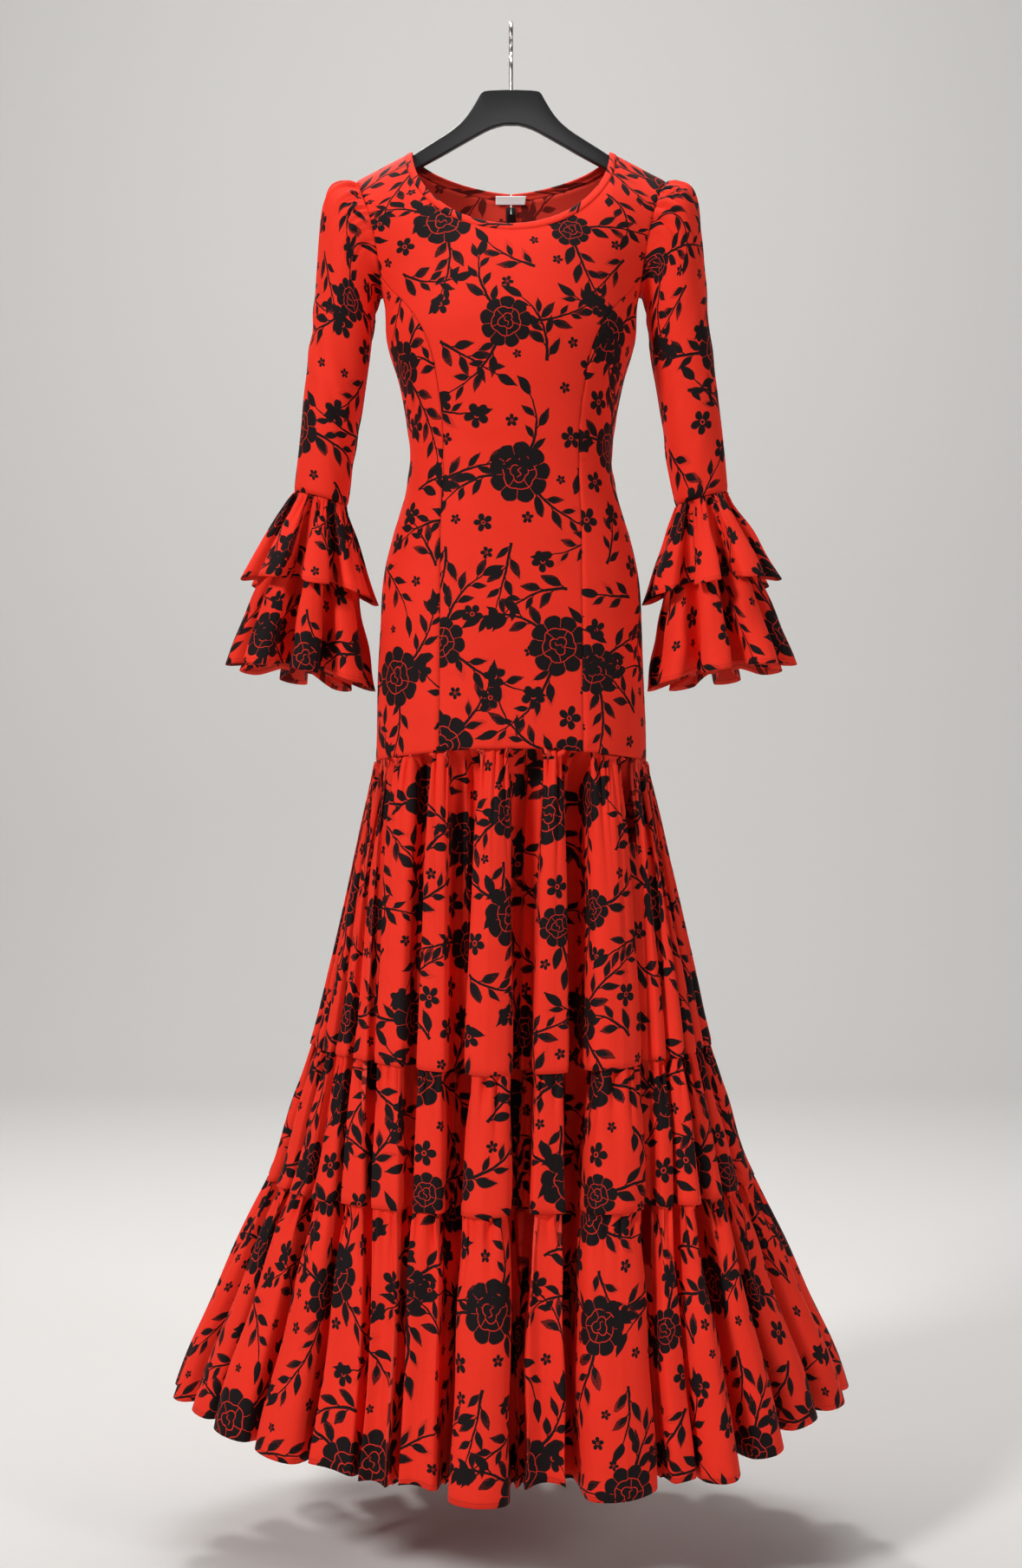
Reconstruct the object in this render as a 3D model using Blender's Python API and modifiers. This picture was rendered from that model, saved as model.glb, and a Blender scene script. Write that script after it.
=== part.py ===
"""Flamenco dress on a flat clothes hanger, filled out as if worn, with its gathered tiers and cuff ruffles.

Run it with: blender --background --python part.py

The world is in metres, +Z up. The origin is where the hook's inside bears on a rail. The dress faces -Y,
so the wearer's left is +X. Sizes and tables below are in millimetres. Cloth is worked out as the middle
of its wall, by functions, and gets its thickness from a Solidify modifier.
"""

import functools
import math

import bmesh
import bpy
import numpy as np

MM = 0.001

# ---------------------------------------------------------------- driving sizes, in millimetres
CLOTH = 1.5  # wall of the crepe with its seam allowances pressed flat
BINDING_CLOTH = 2.2  # the neck binding is two layers of cloth
SEAM_GAP = 0.7  # between the wall middles of two pieces at a seam: their corners come to about 0.3
PRINCESS_GAP = 1.1  # the same across the princess seam, which slants round the bust
ROUNDNESS = 2.2  # exponent of the body's sections: 2 is an ellipse
# How the body rounds off from its full depth up to the shoulder line: the distance it takes, and two exponents.
FRONT_ROUND_OFF = (224.0, 1.4, 0.7)
BACK_ROUND_OFF = (150.0, 1.6, 0.55)

NECK_HALF_WIDTH = 113.5
NECK_HEIGHT = -146.0  # where the shoulder line meets the neck
FRONT_NECK_DROP = 104.0
BACK_NECK_DROP = 34.0
FRONT_NECK_ROUND = 2.0
BACK_NECK_ROUND = 1.5
BINDING_WIDTH = 7.5
BINDING_GAPS = (0.8, 2.8)  # between wall middles at the binding's seam: at the middle, and where it rolls over
BINDING_BESIDE_ZIP = 0.6  # how far each end of the binding stays back from the edge of its opening
NECK_TURNS = [math.radians(a) for a in (0, 18, 36, 53, 66, 77, 85)]

SHOULDER_TIP = 178.0  # half the shoulder width
SHOULDER_SLOPE = 0.52
UNDERARM_WIDTH = 148.0
UNDERARM_HEIGHT = -312.0
ARMHOLE_BOW = 6.0  # how far the armhole curves in towards the chest
ARMHOLE_CLEARANCE = (0.9, 2.4)  # sleeve seam outside the bodice edge, at the shoulder and at the underarm
ARMHOLE_LOWER = 1.2  # how much lower the sleeve seam lies than the bodice edge, at the underarm
ARMHOLE_SHARES = (0, 0.03, 0.1, 0.21, 0.35, 0.5, 0.65, 0.78, 0.87, 0.92, 0.965, 0.99, 1)
JOIN_SHARE = 0.87  # where the princess seam runs into the armhole
ARMHOLE_TURN = 0.2  # share of the side panel's height in which its top turns to follow the armhole
SHOULDER_COLUMNS = 5

HIP_FRONT_HEIGHT = -835.0
HIP_SIDE_HEIGHT = -850.0
SEAM_ROWS = (0, 0.14, 0.27, 0.4, 0.52, 0.64, 0.74, 0.83, 0.91, 1)  # of the height from hip to armhole

WAVE_STEP = 3.1  # degrees of the hem between two points along a fold
TIER_GROWTH = 2.0  # how fast a fold swings from its place at the hip to its place at the hem
SMOOTH_ANGLE = 50  # degrees between two faces up to which an edge is shaded smooth


class Table:
    """Sizes in millimetres with named columns; the first column is what the others are read against."""

    def __init__(self, columns, *rows):
        self.columns = columns.split()
        self.rows = np.array(sorted(rows), float)
        self.slopes = np.gradient(self.rows, self.rows[:, 0], axis=0)

    def column(self, name):
        return self.rows[:, self.columns.index(name)]

    def read(self, name, at):
        """The column's value on a smooth curve through its rows."""
        keys, values = self.rows[:, 0], self.column(name)
        slopes = self.slopes[:, self.columns.index(name)]
        at = min(max(at, keys[0]), keys[-1])
        i = min(max(int(np.searchsorted(keys, at)) - 1, 0), len(keys) - 2)
        step = keys[i + 1] - keys[i]
        t = (at - keys[i]) / step
        return (
            (2 * t**3 - 3 * t**2 + 1) * values[i]
            + (t**3 - 2 * t**2 + t) * step * slopes[i]
            + (3 * t**2 - 2 * t**3) * values[i + 1]
            + (t**3 - t**2) * step * slopes[i + 1]
        )


# Above the underarm the half width is that of the whole rounded section, which the armholes cut off.
BODY = Table(
    "height half_width front_depth back_depth",
    (-146, 420, 125, 95),
    (-202, 375, 125, 95),
    (-225, 259, 125, 95),
    (-250, 200, 125, 95),
    (-280, 164, 125, 95),
    (-312, 148, 125, 95),
    (-370, 141.5, 125, 93),
    (-410, 129.5, 118, 89),
    (-450, 121.5, 107, 85),
    (-505, 116, 96, 83),
    (-550, 124, 96, 90),
    (-590, 136, 98, 99),
    (-630, 145, 101, 107),
    (-700, 150.5, 106, 117),
    (-800, 154, 112, 124),
    (-850, 155.5, 115, 126),
)
PRINCESS = Table(
    "height half_width",
    (-294.8, 149.5),
    (-312, 138),
    (-334, 120),
    (-372, 97),
    (-440, 80),
    (-600, 79),
    (-850, 80),
)
SKIRT = Table(
    "height half_width front_depth back_depth",
    (-835, 154, 114, 125),
    (-870, 163, 120, 131),
    (-950, 181, 136, 142),
    (-1070, 208, 157, 160),
    (-1170, 231.5, 178, 177),
    (-1230, 250, 191, 190),
    (-1310, 275, 209, 207),
    (-1370, 303, 226, 222),
    (-1450, 338, 245, 239),
    (-1530, 376, 264, 256),
    (-1600, 398, 276, 268),
    (-1625, 404, 280, 271),
)
TIERS = Table(
    "tier top_front top_side bottom_front bottom_side rows",
    (1, -835, -850, -1187, -1170, 5),
    (2, -1187, -1170, -1332, -1324, 2),
    (3, -1332, -1324, -1618, -1567, 3),
)
# One row for each fold, from its first valley round to the next row's: angles round the skirt, where 0 is the
# front and 90 the wearer's left, the valley's depth, and how far the fold's crest lies inside the outline.
FOLDS = Table(
    "at_hem at_hip depth recess",
    (1, 5, 1.0, 40),
    (10, 27, 0.95, -4),
    (25, 61, 1.05, 5),
    (30, 68, 0.8, -18),
    (39, 74, 0.95, -6),
    (51, 80, 1.0, 8),
    (66, 85, 0.95, 0),
    (82, 89, 0.9, 0),
    (98, 94, 0.9, 5),
    (112, 99, 1.0, 0),
    (126, 105, 0.9, 14),
    (139, 113, 1.0, 0),
    (152, 127, 0.95, 24),
    (165, 148, 1.0, 0),
    (178, 176, 0.95, 10),
    (191, 204, 1.0, 0),
    (204, 230, 0.9, 22),
    (217, 246, 1.0, 0),
    (230, 255, 0.95, 8),
    (244, 262, 0.9, 0),
    (259, 267, 0.9, 0),
    (274, 272, 0.9, 0),
    (287, 277, 0.95, 6),
    (301, 282, 1.0, 4),
    (313, 287, 0.95, 3),
    (325, 292, 1.0, 20),
    (335.5, 298, 0.95, 20),
    (341, 320, 0.85, 26),
    (349, 342, 1.0, 0),
)
RECESS_LIFT = 0.35  # how much a fold's hem rises for each millimetre that it lies inside
HEM_CURVE = 3  # power of the cosine by which the edges run from their front to their side height
LAST_TIER = 3
FOLD_DEPTH_AT_HIP = 0.05  # of a fold's width
FOLD_DEPTH_AT_HEM = 0.66
DEEPEST_FOLD = 62.0
FOLD_GROWTH = 0.45  # power by which the folds deepen as the skirt flares
LEAST_FOLD_POINTS = 4
FOLD_ROUND = 0.6  # under 1 makes a fold's crest broad and its valley narrow

# The sleeve's sections: its outer and inner edge in the front view, and half its depth from front to back.
SLEEVE = Table(
    "section outer_x outer_z inner_x inner_z half_depth",
    (0, 178, -179.5, 148, -312, 45),
    (1, 192, -177.5, 152.0, -313, 48),
    (2, 207, -184, 153.5, -318, 51),
    (3, 215, -203, 155, -326, 52),
    (4, 219.5, -240, 156.5, -336, 52),
    (5, 223, -285, 158.5, -352, 50),
    (6, 229, -345, 163, -385, 46),
    (7, 236.5, -410, 171.5, -440, 42),
    (8, 243, -475, 180.5, -495, 38),
    (9, 249.5, -538, 190, -554, 32),
)
HEAD_SECTIONS = 4  # sections over which the sleeve turns from the armhole's shape to its own
HEAD_TURN = 1.5  # power by which it does so
RUFFLES = Table(
    "tier length crest_at_top crest_at_hem fold_at_hem rows",
    (1, 101, 30.5, 81, 23, 3),
    (2, 200, 26.0, 87, 30, 4),
)
RUFFLE_VALLEYS = (-31, 13, 58, 103, 147, 190, 234, 281)  # degrees round the wrist from the front
RUFFLE_WAVE_STEP = 8.6
WRIST_LEAN = 0.115  # sideways for each millimetre down
# How much lower a ruffle is towards the body for each millimetre across, at the wrist and at the hem.
RUFFLE_TILTS = (0.27, 0.16)
RUFFLE_BELOW_WRIST = 1.1  # between the wall middles of sleeve and ruffle
RUFFLE_FOLD_AT_TOP = 1.5
RUFFLE_FOLD_GROWTH = 0.9  # power by which a fold deepens down the ruffle
LEAST_RUFFLE_POINTS = 4  # round one fold

ZIP_LENGTH = 550.0
ZIP_TOP = -193.5
ZIP_TAPE_WIDTH = 4.6
ZIP_TAPE = 1.0
ZIP_BEHIND = 0.9  # between the tape and the cloth it is sewn to, on the slope of the neck
ZIP_COIL_WIDTH = 1.6
ZIP_COIL = 1.4
ZIP_TAPE_APART = 0.35  # between the coil and each tape
ZIP_COIL_BELOW_SLIDER = 0.4
ZIP_COIL_SHORT = 4.0  # how far it ends above the tapes' lower ends
LEAST_STRIP = 3.0  # least height of a strip's first and last faces
ZIP_OPEN_HALF = 0.6  # half the slit between the two backs
ZIP_OPEN_AT_SLIDER = 1.7
ZIP_OPEN_SPAN = 9.0  # above and below the slider, where the slit widens for it
SLIDER_HEIGHT = -203.0
SLIDER_SIZE = (6.0, 2.6, 9.0)
SLIDER_NECK = 1.7
NECK_PROUD = 0.8  # the neck shows this much outside the cloth
SLIDER_BEHIND = 2.9  # its body starts this far inside the back's wall middle
STAPLE_WIRE = 0.65  # radius
STAPLE_HEIGHT = 6.0
STAPLE_REACH = 4.4
STAPLE_BEND = 1.0
STAPLE_INSET = 0.2  # from the neck's ends to the wire
SLIDER_LEAN_ABOVE = 4.0  # the slider leans with the back between these two heights from its middle
SLIDER_LEAN_BELOW = 12.0
# Its right edge from the top down, from the hinge axis: a waist below the window, and bevelled corners.
PULL_OUTLINE = ((2.8, 0.55), (2.8, -5.2), (1.8, -7.5), (2.8, -10.0), (2.8, -16.95), (1.3, -18.45))
PULL_WINDOW = (3.0, 3.6)
PULL_THICKNESS = 1.1
PULL_BAR = 1.1  # the bar between the window and the top end, centred on the axis
PULL_AXIS_OUT = 2.75  # the pull's hinge axis outside the back's wall middle

LABEL_SIZE = (36.0, 9.0)
LABEL_TOP = -182.4
LABEL_CLOTH = 1.0
LABEL_BEHIND = 1.2  # clear of the binding it is sewn to, measured level

# Upper and lower outline of the hanger's right half, from the middle out.
HANGER_TOP = (
    (0, -74.5),
    (31, -76),
    (35, -78.5),
    (42, -93),
    (50, -104),
    (60, -115),
    (74, -125.5),
    (92, -136.5),
    (112, -149.5),
)
HANGER_UNDER = ((0, -114.5), (12, -115.5), (28, -121), (50, -133), (76, -148), (104, -163), (140, -184))
HANGER_UNDER_SHOULDER = 5.5  # its top edge below the shoulder seam
HANGER_ARM_COLUMNS = (124, 140, 156)
HANGER_HALF_LENGTH = 171.0
HANGER_ARM = 20.0
HANGER_TIP_BACK = 4.0  # the tip's rounding starts this far in
HANGER_TIP_TURNS = (55, 20, -20, -55, -90)
HANGER_HALF_THICKNESS = 5.0
HANGER_EDGE = 2.0
HANGER_EDGE_ANGLE = 60  # degrees between two faces from which their edge is bevelled
HOOK_WIRE = 2.3  # radius
HOOK_INSIDE = 17.0  # radius
HOOK_BEND = 250.0  # degrees, from behind the rail round to its front
HOOK_START = -58.0
HOOK_BEND_POINTS = 17
HOOK_ABOVE_HANGER = 0.3
# The straight wire's turn into the bend: distance behind the middle, and height from the bend's foot.
HOOK_KINK = ((0.0, -14.0), (3.0, -8.0), (8.0, -1.5))


# ---------------------------------------------------------------- materials and objects
def srgb(code):
    """A linear colour from a hex code."""
    parts = [int(code[i : i + 2], 16) / 255 for i in (1, 3, 5)]
    return tuple(c / 12.92 if c <= 0.04045 else ((c + 0.055) / 1.055) ** 2.4 for c in parts) + (1.0,)


def material(name, colour, roughness, metallic=0.0):
    made = bpy.data.materials.new(name)
    made.use_nodes = True
    made.diffuse_color = srgb(colour)
    surface = made.node_tree.nodes["Principled BSDF"]
    surface.inputs["Base Color"].default_value = srgb(colour)
    surface.inputs["Roughness"].default_value = roughness
    surface.inputs["Metallic"].default_value = metallic
    return made


def clear_scene():
    for found in list(bpy.data.objects):
        bpy.data.objects.remove(found, do_unlink=True)


def add_object(name, data, finish, collection, smooth=True):
    made = bpy.data.objects.new(name, data)
    collection.objects.link(made)
    data.materials.append(finish)
    if smooth and made.type == "MESH":
        data.shade_smooth()
        data.set_sharp_from_angle(angle=math.radians(SMOOTH_ANGLE))
    return made


def grid_mesh(name, rows, closed=False):
    """An open surface through rows of points in millimetres, the first row lowest, each row running to +X
    as seen from outside, so that its faces point out."""
    mesh = bpy.data.meshes.new(name)
    build = bmesh.new()
    made = [[build.verts.new(np.asarray(point) * MM) for point in row] for row in rows]
    around = len(rows[0]) if closed else len(rows[0]) - 1
    for low, high in zip(made, made[1:]):
        for j in range(around):
            k = (j + 1) % len(low)
            build.faces.new((low[j], low[k], high[k], high[j]))
    build.to_mesh(mesh)
    build.free()
    return mesh


def cloth(name, rows, finish, collection, thickness=CLOTH, closed=False):
    """A cloth wall whose middle runs through the rows."""
    made = add_object(name, grid_mesh(name, rows, closed), finish, collection)
    wall = made.modifiers.new("Wall", "SOLIDIFY")
    wall.thickness = thickness * MM
    wall.offset = 0
    return made


# ---------------------------------------------------------------- the body's surface
def shoulder_height(x):
    return NECK_HEIGHT - SHOULDER_SLOPE * max(0.0, abs(x) - NECK_HALF_WIDTH)


def rise(face, below_shoulder):
    """Share of the full depth at this distance below the shoulder line."""
    reach, bend, power = FRONT_ROUND_OFF if face == "front" else BACK_ROUND_OFF
    share = min(max(below_shoulder / reach, 0.0), 1.0)
    return (1 - (1 - share) ** bend) ** power


def body_angle(x, z):
    """Angle round the section, 0 at the middle and 90 degrees at the side, of a point that far out."""
    share = min(abs(x) / BODY.read("half_width", z), 1.0)
    return math.copysign(math.asin(share ** (ROUNDNESS / 2)), x)


def body_point(face, angle, z, inward=0.0):
    """Point on the front or back of the body, at an angle in radians from its middle."""
    x = BODY.read("half_width", z) * abs(math.sin(angle)) ** (2 / ROUNDNESS)
    x = math.copysign(x, angle)
    depth = BODY.read(face + "_depth", z) * rise(face, shoulder_height(x) - z)
    depth *= max(math.cos(angle), 0.0) ** (2 / ROUNDNESS)
    away = -1 if face == "front" else 1
    return np.array([x, away * (depth - inward), z])


def hip_height(angle):
    return HIP_SIDE_HEIGHT + (HIP_FRONT_HEIGHT - HIP_SIDE_HEIGHT) * math.cos(angle) ** 2


def armhole(share):
    """(x, height) on the armhole, from the shoulder tip to the underarm."""
    tip = shoulder_height(SHOULDER_TIP)
    x = SHOULDER_TIP + (UNDERARM_WIDTH - SHOULDER_TIP) * share - ARMHOLE_BOW * math.sin(math.pi * share)
    return x, tip + (UNDERARM_HEIGHT - tip) * share


def neck_edge(face, turn, down):
    """(x, height) this far below the neckline, where the turn is 0 at the middle and 90 degrees at the shoulder."""
    drop, power = (FRONT_NECK_DROP, FRONT_NECK_ROUND) if face == "front" else (BACK_NECK_DROP, BACK_NECK_ROUND)
    out = NECK_HALF_WIDTH + down
    share = abs(math.sin(turn))
    top = shoulder_height(out)
    fall = drop + down + top - NECK_HEIGHT
    return math.copysign(out * share, turn), top - fall * max(1 - share**power, 0.0) ** (1 / power)


def top_columns(face):
    """(x, height) along the upper edge of a front or back, from its middle out to the shoulder tip."""
    middle, shoulder = BINDING_GAPS
    cuts = [BINDING_WIDTH + middle + (shoulder - middle) * math.sin(turn) ** 2 for turn in NECK_TURNS]
    points = [neck_edge(face, turn, cut) for turn, cut in zip(NECK_TURNS, cuts)]
    start = NECK_HALF_WIDTH + BINDING_WIDTH + shoulder
    points += [(x, shoulder_height(x)) for x in np.linspace(start, SHOULDER_TIP, SHOULDER_COLUMNS)]
    return points


def at_surface(face, x, z):
    """Point on the body, kept half a seam gap off the shoulder line that the front and back share."""
    point = body_point(face, body_angle(x, z), z)
    away = -1 if face == "front" else 1
    point[1] = away * max(abs(point[1]), SEAM_GAP)
    return point


def panel_rows(face, edge, low):
    """Rows up a panel that reaches from the body's middle to the shoulder tip. edge lists its side edge as
    (x, height) from the hip up, and low gives its lower edge's height at an angle."""
    bottom, peak = edge[0][1], edge[-1][1]
    tip = body_angle(SHOULDER_TIP, peak)
    rows = []
    for x_side, z_side in edge:
        up = (z_side - bottom) / (peak - bottom)
        side = body_angle(x_side, z_side)
        row = []
        for x_top, z_top in top_columns(face):
            out = body_angle(x_top, peak) / tip
            z_low = low(out * body_angle(edge[0][0], bottom))
            x = body_point(face, out * side, z_side)[0]
            row.append(at_surface(face, x, z_low + (z_top - z_low) * up))
        rows.append(row)
    return rows


def mirrored(rows):
    """The rows reflected to -X, still running towards +X."""
    return [[point * (-1, 1, 1) for point in reversed(row)] for row in rows]


def both_sides(rows):
    """Rows over the whole width from rows over the +X half that start at the middle."""
    return [reflected[:-1] + row for reflected, row in zip(mirrored(rows), rows)]


def turned(rows):
    """Rows run the other way, for a surface that faces the back."""
    return [list(reversed(row)) for row in rows]


def side_heights(start, end):
    return [start + (end - start) * share for share in SEAM_ROWS]


def princess_edge():
    """The front's side edge: up the princess seam, then round the armhole to the shoulder tip."""
    join = armhole(JOIN_SHARE)[1]
    low = hip_height(body_angle(PRINCESS.read("half_width", HIP_FRONT_HEIGHT), HIP_FRONT_HEIGHT))
    seam = [(PRINCESS.read("half_width", z) - PRINCESS_GAP / 2, z) for z in side_heights(low, join)[:-1]]
    hole = [armhole(share) for share in reversed(ARMHOLE_SHARES) if share <= JOIN_SHARE]
    hole[0] = (hole[0][0] - PRINCESS_GAP / 2, hole[0][1])
    return seam + hole


def side_seam_edge():
    """The back's side edge: up the side seam, then round the armhole to the shoulder tip."""
    seam = [(BODY.read("half_width", z), z) for z in side_heights(HIP_SIDE_HEIGHT, UNDERARM_HEIGHT)[:-1]]
    return seam + [armhole(share) for share in reversed(ARMHOLE_SHARES)]


def front_side_rows():
    """The narrow panel between the princess seam and the side seam."""
    join = armhole(JOIN_SHARE)[1]
    tops = [armhole(share) for share in ARMHOLE_SHARES if share >= JOIN_SHARE]
    rows = []
    low = hip_height(body_angle(PRINCESS.read("half_width", HIP_FRONT_HEIGHT), HIP_FRONT_HEIGHT))
    seam, side = side_heights(low, join), side_heights(HIP_SIDE_HEIGHT, UNDERARM_HEIGHT)
    for seam_height, side_height in zip(seam, side):
        inner = body_angle(PRINCESS.read("half_width", seam_height) + PRINCESS_GAP / 2, seam_height)
        up = (seam_height - low) / (join - low)
        row = []
        for i, (x_top, z_top) in enumerate(tops):
            across = i / (len(tops) - 1)
            height = seam_height + (side_height - seam_height) * across
            angle = inner + (math.pi / 2 - inner) * across
            straight = body_point("front", angle, height)
            hole = at_surface("front", x_top, z_top) if 0 < across < 1 else straight
            blend = max(0.0, 1 - (1 - up) / ARMHOLE_TURN)
            row.append(straight + (hole - straight) * blend)
        row[-1][1] -= SEAM_GAP / 2
        rows.append(row)
    return rows


def back_rows():
    """The back's left half. Its middle edge stands off the centre line by half the zip's slit."""
    rows = panel_rows("back", side_seam_edge(), hip_height)
    for row in rows:
        row[-1][1] = max(row[-1][1], SEAM_GAP / 2)
        z = row[0][2]
        near = math.exp(-(((z - SLIDER_HEIGHT) / ZIP_OPEN_SPAN) ** 2))
        row[0] = at_surface("back", ZIP_OPEN_HALF + (ZIP_OPEN_AT_SLIDER - ZIP_OPEN_HALF) * near, z)
    return rows


def add_bodice(finish, collection):
    front = panel_rows("front", princess_edge(), hip_height)
    cloth("bodice_front_centre", both_sides(front), finish, collection)
    side = front_side_rows()
    cloth("bodice_front_side_left", side, finish, collection)
    cloth("bodice_front_side_right", mirrored(side), finish, collection)
    back = back_rows()
    cloth("bodice_back_left", turned(back), finish, collection)
    cloth("bodice_back_right", turned(mirrored(back)), finish, collection)


# ---------------------------------------------------------------- neck binding and label
def add_neck_binding(finish, collection):
    """A strip from one side of the back opening, round over both shoulders, to the other."""
    rows = []
    for down in (BINDING_WIDTH, BINDING_WIDTH / 2, 0.0):
        front = [neck_edge("front", turn, down) for turn in NECK_TURNS]
        back = [neck_edge("back", turn, down) for turn in NECK_TURNS]
        back[0] = (ZIP_OPEN_HALF + BINDING_BESIDE_ZIP, back[0][1])
        shoulder = np.array([NECK_HALF_WIDTH + down, 0.0, shoulder_height(NECK_HALF_WIDTH + down)])
        row = [body_point("front", body_angle(*point), point[1]) for point in front]
        row.append(shoulder)
        row += [body_point("back", body_angle(*point), point[1]) for point in reversed(back)]
        rows.append([point * (-1, 1, 1) for point in reversed(row[1:])] + row)
    cloth("neck_binding", rows, finish, collection, BINDING_CLOTH)


def add_label(finish, collection):
    width, height = LABEL_SIZE
    inward = BINDING_CLOTH / 2 + LABEL_CLOTH / 2 + LABEL_BEHIND
    rows = []
    for z in np.linspace(LABEL_TOP - height, LABEL_TOP, 3):
        row = []
        for x in np.linspace(width / 2, -width / 2, 7):
            row.append(body_point("back", body_angle(x, z), z, inward))
        rows.append(row)
    cloth("label", rows, finish, collection, LABEL_CLOTH)


# ---------------------------------------------------------------- sleeves and cuff ruffles
def armhole_loop():
    """Points round the armhole: shoulder tip, down the front to the underarm, up the back."""
    loop = []
    for face, shares in (("front", ARMHOLE_SHARES), ("back", ARMHOLE_SHARES[-2:0:-1])):
        for share in shares:
            x, z = armhole(share)
            near, far = ARMHOLE_CLEARANCE
            point = at_surface(face, x, z)
            if share in (0, 1):
                point[1] = 0.0
            loop.append(point + (near + (far - near) * share, 0, ARMHOLE_LOWER * share))
    return loop


def loop_turns():
    """The angle of each armhole point round a sleeve section, 0 at its outer edge, 180 at its inner edge."""
    down = [math.acos(1 - 2 * share) for share in ARMHOLE_SHARES]
    return down + [2 * math.pi - turn for turn in down[-2:0:-1]]


def sleeve_section(at, turns):
    outer = np.array([SLEEVE.read("outer_x", at), 0, SLEEVE.read("outer_z", at)])
    inner = np.array([SLEEVE.read("inner_x", at), 0, SLEEVE.read("inner_z", at)])
    depth = np.array([0, -SLEEVE.read("half_depth", at), 0])
    middle, half = (outer + inner) / 2, (outer - inner) / 2
    return [middle + half * math.cos(turn) + depth * math.sin(turn) for turn in turns]


def sleeve_rows():
    """Sections from the wrist up to the armhole."""
    turns = loop_turns()
    start = sleeve_section(0, turns)
    offset = [point - plain for point, plain in zip(armhole_loop(), start)]
    rows = []
    for at in reversed(SLEEVE.column("section")):
        left = max(0.0, 1 - at / HEAD_SECTIONS) ** HEAD_TURN
        rows.append([plain + shift * left for plain, shift in zip(sleeve_section(at, turns), offset)])
    return rows


def ruffle_folds():
    """(degrees, valley 0 to crest 1) at each point round a ruffle."""
    points = []
    ends = RUFFLE_VALLEYS[1:] + (RUFFLE_VALLEYS[0] + 360,)
    for start, end in zip(RUFFLE_VALLEYS, ends):
        count = max(LEAST_RUFFLE_POINTS, round((end - start) / RUFFLE_WAVE_STEP))
        for k in range(count):
            share = k / count
            points.append((start + (end - start) * share, math.sin(math.pi * share) ** FOLD_ROUND))
    return points


def ruffle_rows(tier):
    """Rings from a ruffle's hem up to the wrist seam."""
    length = RUFFLES.read("length", tier)
    count = int(RUFFLES.read("rows", tier))
    wrist = sleeve_section(SLEEVE.column("section")[-1], (0.0, math.pi))
    centre = (wrist[0] + wrist[1]) / 2
    rows = []
    for k in range(count, -1, -1):
        down = length * k / count
        share = k / count
        crest = RUFFLES.read("crest_at_top", tier)
        crest += (RUFFLES.read("crest_at_hem", tier) - crest) * share
        tilt = RUFFLE_TILTS[0] + (RUFFLE_TILTS[1] - RUFFLE_TILTS[0]) * share
        fold = RUFFLE_FOLD_AT_TOP * (1 - share) + RUFFLES.read("fold_at_hem", tier) * share**RUFFLE_FOLD_GROWTH
        row = []
        for degrees, height in ruffle_folds():
            turn = math.radians(degrees)
            radius = crest - fold * (1 - height)
            x, y = radius * math.sin(turn), -radius * math.cos(turn)
            z = -down + tilt * x - RUFFLE_BELOW_WRIST
            row.append(centre + (x + WRIST_LEAN * down, y, z))
        rows.append(row)
    return rows


def add_sleeves(finish, collection):
    for side, reflect in (("left", 1), ("right", -1)):
        sleeve = turned(sleeve_rows())
        pieces = {"sleeve_": sleeve, "cuff_ruffle_upper_": ruffle_rows(1), "cuff_ruffle_lower_": ruffle_rows(2)}
        for name, rows in pieces.items():
            cloth(name + side, mirrored(rows) if reflect < 0 else rows, finish, collection, closed=True)


# ---------------------------------------------------------------- skirt tiers
def skirt_flare(z):
    """0 at the hip and 1 at the hem, by how far the sides have spread."""
    top, bottom = SKIRT.column("half_width")[-1], SKIRT.column("half_width")[0]
    return (SKIRT.read("half_width", z) - top) / (bottom - top)


def skirt_place(at_hip, at_hem, flare):
    return at_hem + (at_hip - at_hem) * (1 - flare) ** TIER_GROWTH


def skirt_outline(degrees, z):
    """The skirt's crest line at a height, and the way out of it."""
    turn = math.radians(degrees)
    flare = skirt_flare(z)
    power = 2 / (ROUNDNESS + (2 - ROUNDNESS) * min(flare, 1.0))
    half = SKIRT.read("half_width", z)
    depth = SKIRT.read("front_depth" if math.cos(turn) >= 0 else "back_depth", z)
    sine, cosine = math.sin(turn), math.cos(turn)
    x = half * math.copysign(abs(sine) ** power, sine)
    y = -depth * math.copysign(abs(cosine) ** power, cosine)
    out = np.array([x / half**2, y / depth**2, 0])
    return np.array([x, y, z]), out / np.linalg.norm(out)


def tier_height(tier, edge, degrees):
    """Height of a tier's upper or lower edge at this angle."""
    front, side = TIERS.read(edge + "_front", tier), TIERS.read(edge + "_side", tier)
    return side + (front - side) * abs(math.cos(math.radians(degrees))) ** HEM_CURVE


def skirt_columns():
    """For each point round the skirt: its fold's row, the next fold's, and how far across the fold it is."""
    rows = [dict(zip(FOLDS.columns, row)) for row in FOLDS.rows]
    after = rows[1:] + [dict(rows[0], at_hem=rows[0]["at_hem"] + 360, at_hip=rows[0]["at_hip"] + 360)]
    columns = []
    for fold, following in zip(rows, after):
        count = max(LEAST_FOLD_POINTS, 2 * round((following["at_hem"] - fold["at_hem"]) / WAVE_STEP / 2))
        columns += [(fold, following, k / count) for k in range(count)]
    return columns


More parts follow.
